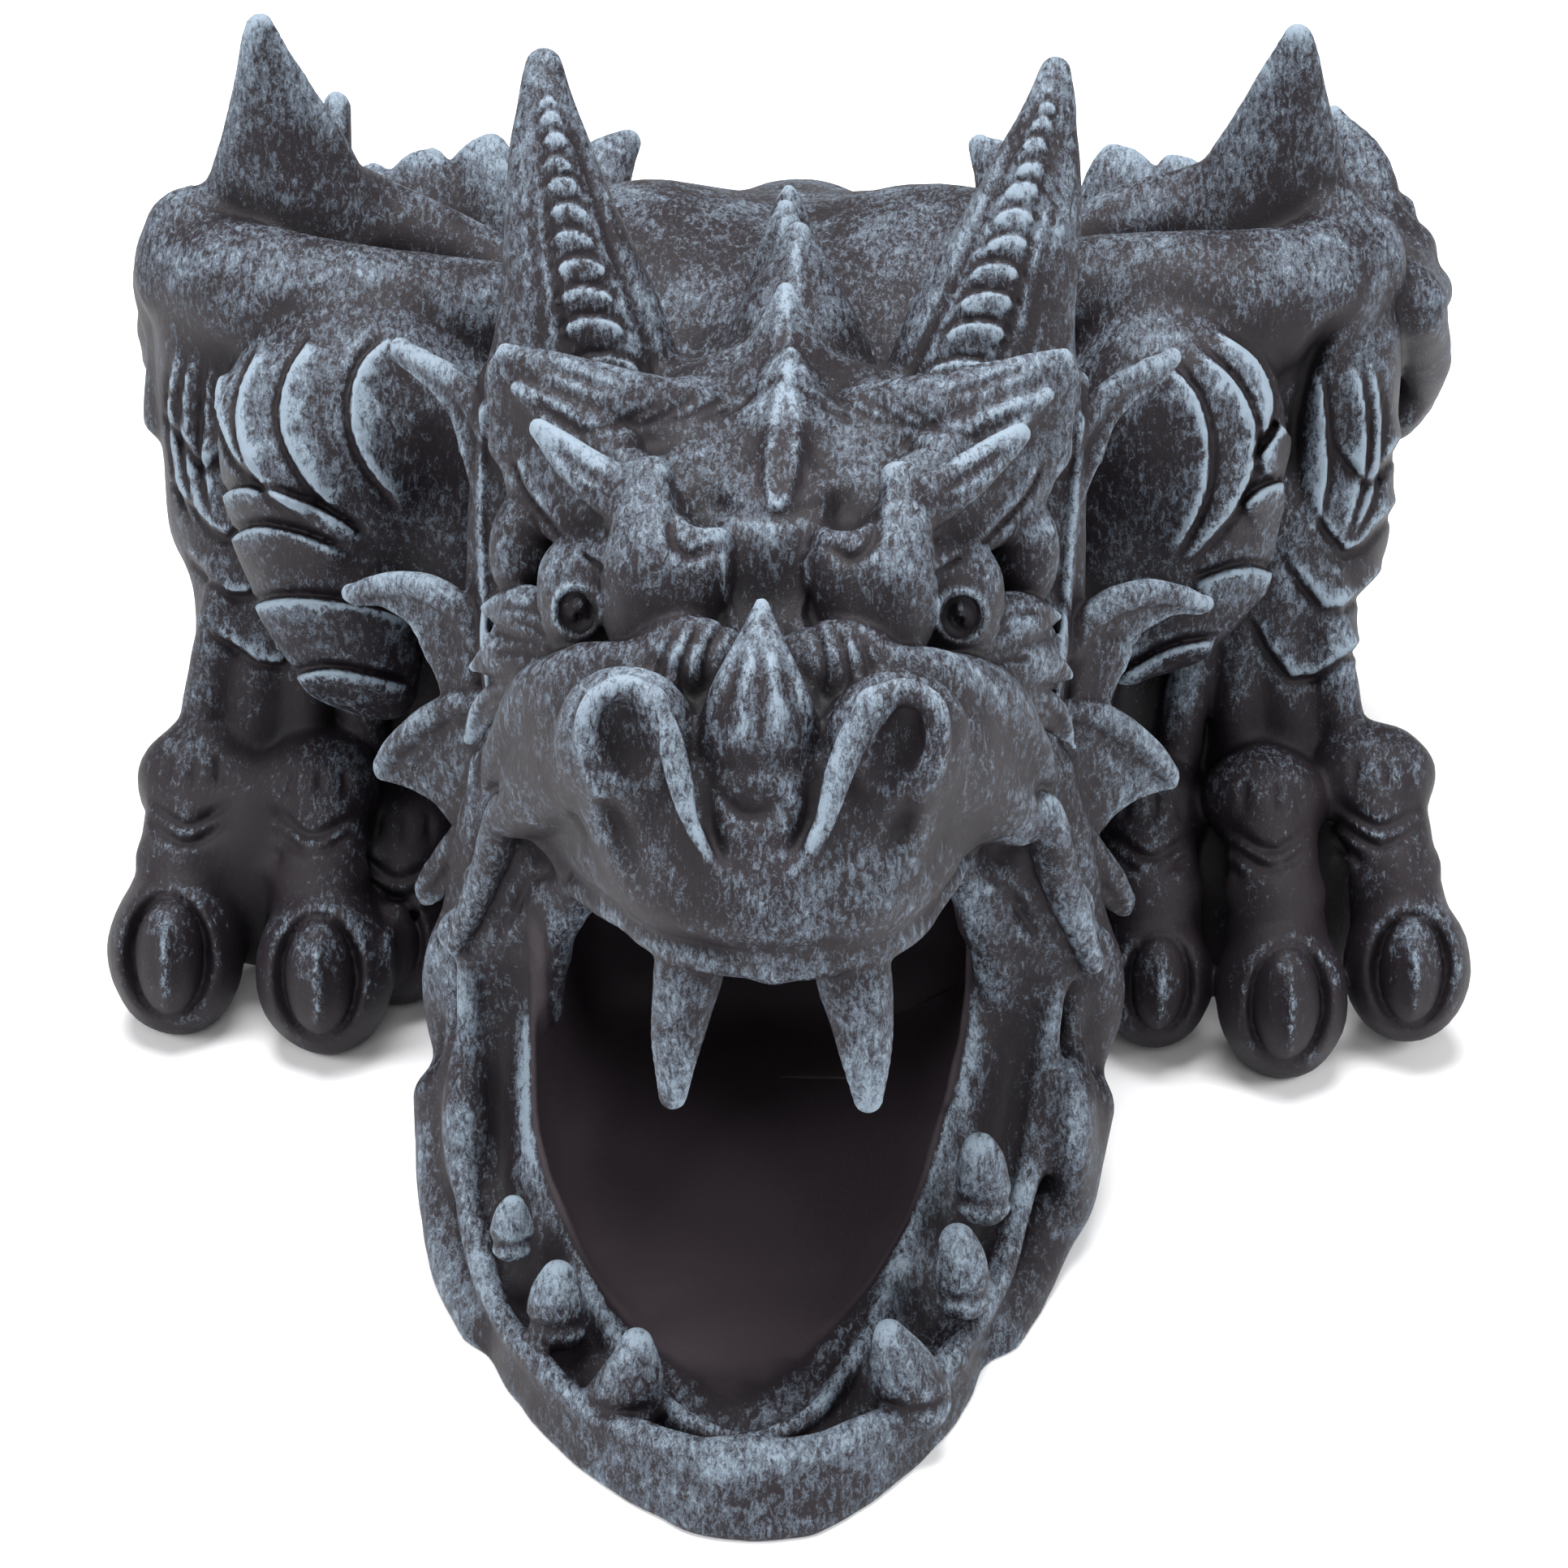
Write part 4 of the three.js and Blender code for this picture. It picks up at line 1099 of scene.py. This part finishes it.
# %% Frill
STRAP = [[62, -78, 179, 3.2], [61.6, -81, 168, 3.4], [61.2, -85.5, 149, 3.4], [60.4, -92, 133, 3.4],
    [59.8, -98, 120, 3.4], [58.5, -102, 109, 3.2], [56, -106, 99, 2.6]]
GROOVE = [[58.5, -91, 177, 4.2], [57, -93, 161, 4.4], [57, -96, 146, 4.2], [57.5, -100, 134, 3.8],
    [57, -104, 120, 3.4], [55.5, -107, 108, 2.8]]
LOBES = (
    (
        [[63, -80, 168, 2.6], [66.5, -76.5, 173, 2.8], [72, -71.5, 176.5, 2.6], [78, -67, 177.8, 2.2],
            [83.5, -62.5, 178.5, 1.5]],
        [[64, -82.5, 155], [67, -80, 163], [69.5, -76.5, 170], [76, -70, 174.5], [82, -64, 176.5]],
    ),
    (
        [[64, -93, 123, 2.6], [67.5, -89.5, 129, 3], [74, -84.5, 131.3, 3.2], [81.5, -78.5, 130, 3],
            [89, -73.5, 126.5, 2.5], [94.5, -69.5, 122.5, 1.6]],
        [[65, -97, 112], [71, -92.5, 111], [74.5, -87.5, 116.5], [79, -81.5, 123], [87, -74.5, 124],
            [93, -70.5, 121.5]],
    ),
    (
        [[63, -99, 112, 2.8], [69.5, -95, 109, 3], [77, -91, 102, 3], [83.5, -87, 94, 2.7],
            [87, -84.5, 88, 2], [87.3, -83.5, 85.5, 1.6]],
        [[63, -103, 95], [66.5, -100, 85], [70, -96.5, 81], [74, -92.5, 84], [80, -89, 86],
            [85.5, -85.5, 85.8]],
    ),
    (
        [[61, -104, 95, 2.8], [65, -101, 85, 3], [70.5, -98, 75.5, 2.9], [75.5, -95, 67, 2.5],
            [78.3, -92.5, 60.5, 1.9], [78.2, -91.5, 57.5, 1.5]],
        [[60, -106, 84], [62, -104, 79], [66, -101, 73], [71, -97.5, 66], [75.5, -94, 60],
            [77.3, -92.5, 57.5]],
    ),
)


def press_frill(s):
    rod(GROOVE, s, 2, cut=True)
    behind = [[56, -74, 170, 9], [57, -81, 142, 10], [57, -89, 114, 10], [56, -95, 88, 9]]
    rod(behind, s, 2)
    for rim, edge in LOBES:
        above = swing([p[:3] for p in rim], s)
        below = swing(edge, s)
        for a, b, c, d in zip(above, above[1:], below, below[1:]):
            head.web(a, b, c, 3.4, 0.8)
            head.web(b, d, c, 3.4, 0.8)
        rod([[x, y - 1.2, z, r] for x, y, z, r in rim], s, 0.7)
    for line in ([[70, -91, 126], [76, -86, 122], [78, -84, 118]], [[70, -97, 104], [76, -93, 95],
        [80, -89, 88]]):
        draw(line, s, 1.2, -0.9, reach=8)
    rod(STRAP, s, 0.9, flat=((0.2, 1, -0.3), 1.35))
    welt = [[64, -83, 176], [63.8, -85, 166], [63.4, -89, 148], [62.6, -95, 133], [61.6, -101, 120],
        [60, -105, 109]]
    draw(welt, s, 1.2, 1.3, reach=11, taper=0.1)


both(press_frill)
weigh(head, "with the frill")

# %% [markdown]
# Before the mould is made the whole clay gets a slight unevenness, and it is cut flat underneath and
# behind, where the casting rests and where the pipe meets it.

# %% Finish the clay and cast it
MOST_FACES = 190000
for clay, seed in ((body, 3), (head, 5)):
    wobble(clay, 0.5, 12, seed)
    wobble(clay, 0.2, 4, seed + 1)
    _, (x, y, z) = clay.window(clay.low, clay.low + clay.grain * np.array(clay.count))
    clay.field = np.maximum(clay.field, np.maximum(-z, y - rear)).astype(np.float32)

pieces = [cast(body, "body_and_wings", MOST_FACES), cast(head, "head", MOST_FACES)]

# %% [markdown]
# The casting is dark charcoal all through. A nearly dry brush of blue-grey paint was dragged over it,
# so paint sits on what stands proud and breaks into specks elsewhere. A painted picture would be fixed
# to one size, so the finish is a net of nodes, and these short names make the net easier to read.

# %% Paint nodes
def socket(node, name):
    return next(s for s in node.inputs if s.name == name and s.enabled)


class Paint:
    """Short names for building one material's nodes."""

    def __init__(self, name):
        self.material = bpy.data.materials.new(name)
        self.material.use_nodes = True
        self.nodes = self.material.node_tree.nodes
        self.links = self.material.node_tree.links
        self.shader = self.nodes["Principled BSDF"]
        self.place = self.nodes.new("ShaderNodeTexCoord").outputs["Object"]
        streaks = self.nodes.new("ShaderNodeMapping")
        streaks.inputs["Scale"].default_value = (1, 0.45, 0.5)
        self.links.new(self.place, streaks.inputs["Vector"])
        self.streaked = streaks.outputs["Vector"]

    def feed(self, node, *values, **named):
        spots = [*zip(node.inputs, values)]
        spots += [(socket(node, name), value) for name, value in named.items()]
        for spot, value in spots:
            if isinstance(value, bpy.types.NodeSocket):
                self.links.new(value, spot)
            else:
                spot.default_value = value
        return node

    def math(self, kind, a, b=0.0, c=0.0):
        node = self.nodes.new("ShaderNodeMath")
        node.operation = kind
        return self.feed(node, a, b, c).outputs[0]

    def noise(self, scale, detail=4.0, rough=0.55, warp=0.0, along=None):
        node = self.nodes.new("ShaderNodeTexNoise")
        self.feed(node, Vector=along or self.place, Scale=scale, Detail=detail, Roughness=rough,
            Distortion=warp)
        return self.math("SUBTRACT", node.outputs["Fac"], 0.5)

    def stored(self, name):
        node = self.nodes.new("ShaderNodeAttribute")
        node.attribute_name = name
        return node.outputs["Fac"]

    def ramp(self, value, low, high):
        node = self.nodes.new("ShaderNodeMapRange")
        node.interpolation_type = "SMOOTHSTEP"
        return self.feed(node, value, low, high).outputs[0]

    def mix(self, amount, a, b):
        node = self.nodes.new("ShaderNodeMix")
        node.data_type = "RGBA"
        return self.feed(node, Factor=amount, A=a, B=b).outputs["Result"]


print("paint tools:", [name for name in vars(Paint) if name[0] != "_"])

# %% [markdown]
# How proud a place is, which way it faces and noise at three sizes add up to one level. Faces that point
# up get more of it, partly from the brush and partly as painted top light. Where the level is high the
# brush left paint, and a last thin touch of pale paint catches only the sharpest edges. In the water
# channel the level is lowered, because nobody brushed there, and low on the sides near the ground it is
# lowered too, partly for thinner paint and partly as painted shade. Sunken places are darkened towards
# near black as painted shade.

# %% Stained stone, with painted shade and top light
# The first colour is painted shade for sunken places; CHARCOAL is the stone's own colour.
HOLLOW_SHADE, CHARCOAL = (0.0055, 0.0045, 0.0055, 1), (0.0125, 0.0095, 0.0125, 1)
WASHED = (0.036, 0.028, 0.034, 1)
BLUE_GREY, PALE = (0.090, 0.109, 0.138, 1), (0.23, 0.29, 0.35, 1)


def stained_and_shaded_stone():
    paint = Paint("stained_and_shaded_stone")
    edge, form, bare_and_shaded = paint.stored("edge"), paint.stored("form"), paint.stored("bare_and_shaded")
    upward = paint.nodes.new("ShaderNodeSeparateXYZ")
    normal = paint.nodes.new("ShaderNodeNewGeometry").outputs["Normal"]
    paint.links.new(normal, upward.inputs[0])
    patches = paint.noise(45, 4, 0.6, 0.5)
    drag = paint.noise(850, 6, 0.8, 0.6, paint.streaked)
    specks = paint.noise(2000, 3, 0.75)
    # Upward faces get more blue-grey: partly where the brush fell, partly painted top light.
    shares = ((edge, 0.3), (upward.outputs["Z"], 0.26), (patches, 2.5), (drag, 4.6), (specks, 1.4),
        # This share lowers the paint in the channel and, partly as painted shade, low on the sides.
        (bare_and_shaded, -2.2))
    level = paint.math("MULTIPLY", form, 0.42)
    for value, share in shares:
        level = paint.math("MULTIPLY_ADD", value, share, level)
    brushed = paint.ramp(level, 0.05, 0.72)
    pale = paint.ramp(paint.math("MULTIPLY_ADD", edge, 0.22, level), 0.65, 1.6)
    # Painted shade: sunken places, where form is low, go towards the darkest colour.
    deep = paint.ramp(form, -1.0, 0.3)
    tint = paint.mix(deep, HOLLOW_SHADE, CHARCOAL)
    tint = paint.mix(paint.ramp(bare_and_shaded, 0.3, 1.05), tint, WASHED)
    colour = paint.mix(paint.math("MULTIPLY", brushed, 0.8), tint, BLUE_GREY)
    colour = paint.mix(paint.math("MULTIPLY", pale, 0.8), colour, PALE)
    paint.feed(paint.shader, **{"Base Color": colour, "Specular IOR Level": 0.2})
    paint.feed(paint.shader, Roughness=paint.math("MULTIPLY_ADD", brushed, 0.2, 0.5))
    grit = paint.math("MULTIPLY_ADD", specks, 0.35, paint.math("MULTIPLY", drag, 0.6))
    bump = paint.nodes.new("ShaderNodeBump")
    paint.feed(bump, Strength=0.4, Distance=0.001, Height=grit)
    paint.feed(paint.shader, Normal=bump.outputs["Normal"])
    return paint.material


stone = stained_and_shaded_stone()
for piece in pieces:
    piece.data.materials.clear()
    piece.data.materials.append(stone)
    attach(piece, "root")
    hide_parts("gargoyle")
print(len(stone.node_tree.nodes), "nodes in the stone's paint")

# %% [markdown]
# It stands on a pale floor under soft lamps: a wide one overhead, one at each side and a weak one in
# front, so that every fold keeps a light edge and a dark side. Small hard lamps would give black
# shadows in the mouth. The camera looks down at the face from a metre away.

# %% Floor, lamps and camera
def lamp(name, place, aim, size, watts):
    data = bpy.data.lights.new(name, "AREA")
    data.shape, data.size, data.energy = "DISK", size, watts
    thing = bpy.data.objects.new(name, data)
    thing.location = place
    thing.rotation_euler = (Vector(aim) - Vector(place)).to_track_quat("-Z", "Y").to_euler()
    bpy.context.scene.collection.objects.link(thing)


LAMPS = (
    ("overhead", (-0.1, 0.1, 1.5), (0, 0, 0.1), 1.1, 40),
    ("left_side", (-1.3, -0.7, 0.8), (0, -0.05, 0.12), 0.7, 15),
    ("right_side", (1.3, -0.6, 0.9), (0, -0.05, 0.12), 0.7, 15),
    ("front", (0.1, -1.6, 1.2), (0, -0.05, 0.1), 0.8, 8),
)
for settings in LAMPS:
    lamp(*settings)

world = bpy.data.worlds.new("studio")
world.use_nodes = True
world.node_tree.nodes["Background"].inputs[0].default_value = (1, 1, 1, 1)
world.node_tree.nodes["Background"].inputs[1].default_value = 0.36
bpy.context.scene.world = world
bpy.context.scene.view_settings.view_transform = "Standard"

half = 4.0  # metres of floor on each side
floor_mesh = bpy.data.meshes.new("floor")
floor_mesh.from_pydata([(-half, -half, 0), (half, -half, 0), (half, half, 0), (-half, half, 0)], [],
    [(0, 1, 2, 3)])
floor = bpy.data.objects.new("floor", floor_mesh)
bpy.context.scene.collection.objects.link(floor)
pale = Paint("pale_floor")
pale.feed(pale.shader, **{"Base Color": (0.92, 0.92, 0.93, 1), "Roughness": 0.9})
floor_mesh.materials.append(pale.material)

eye = Vector((0.028, -1.0, 0.604))
turn, tilt = math.atan2(28, 980), math.radians(29.6)
ahead = Vector((-math.sin(turn) * math.cos(tilt), math.cos(turn) * math.cos(tilt), -math.sin(tilt)))
lens = bpy.data.cameras.new("camera")
lens.sensor_width, lens.lens = 36, 109.0
camera = bpy.data.objects.new("camera", lens)
camera.location = eye
camera.rotation_euler = ahead.to_track_quat("-Z", "Y").to_euler()
bpy.context.scene.collection.objects.link(camera)
bpy.context.scene.camera = camera
print("camera is", round(eye.length, 2), "m from the middle of the base")

# %% [markdown]
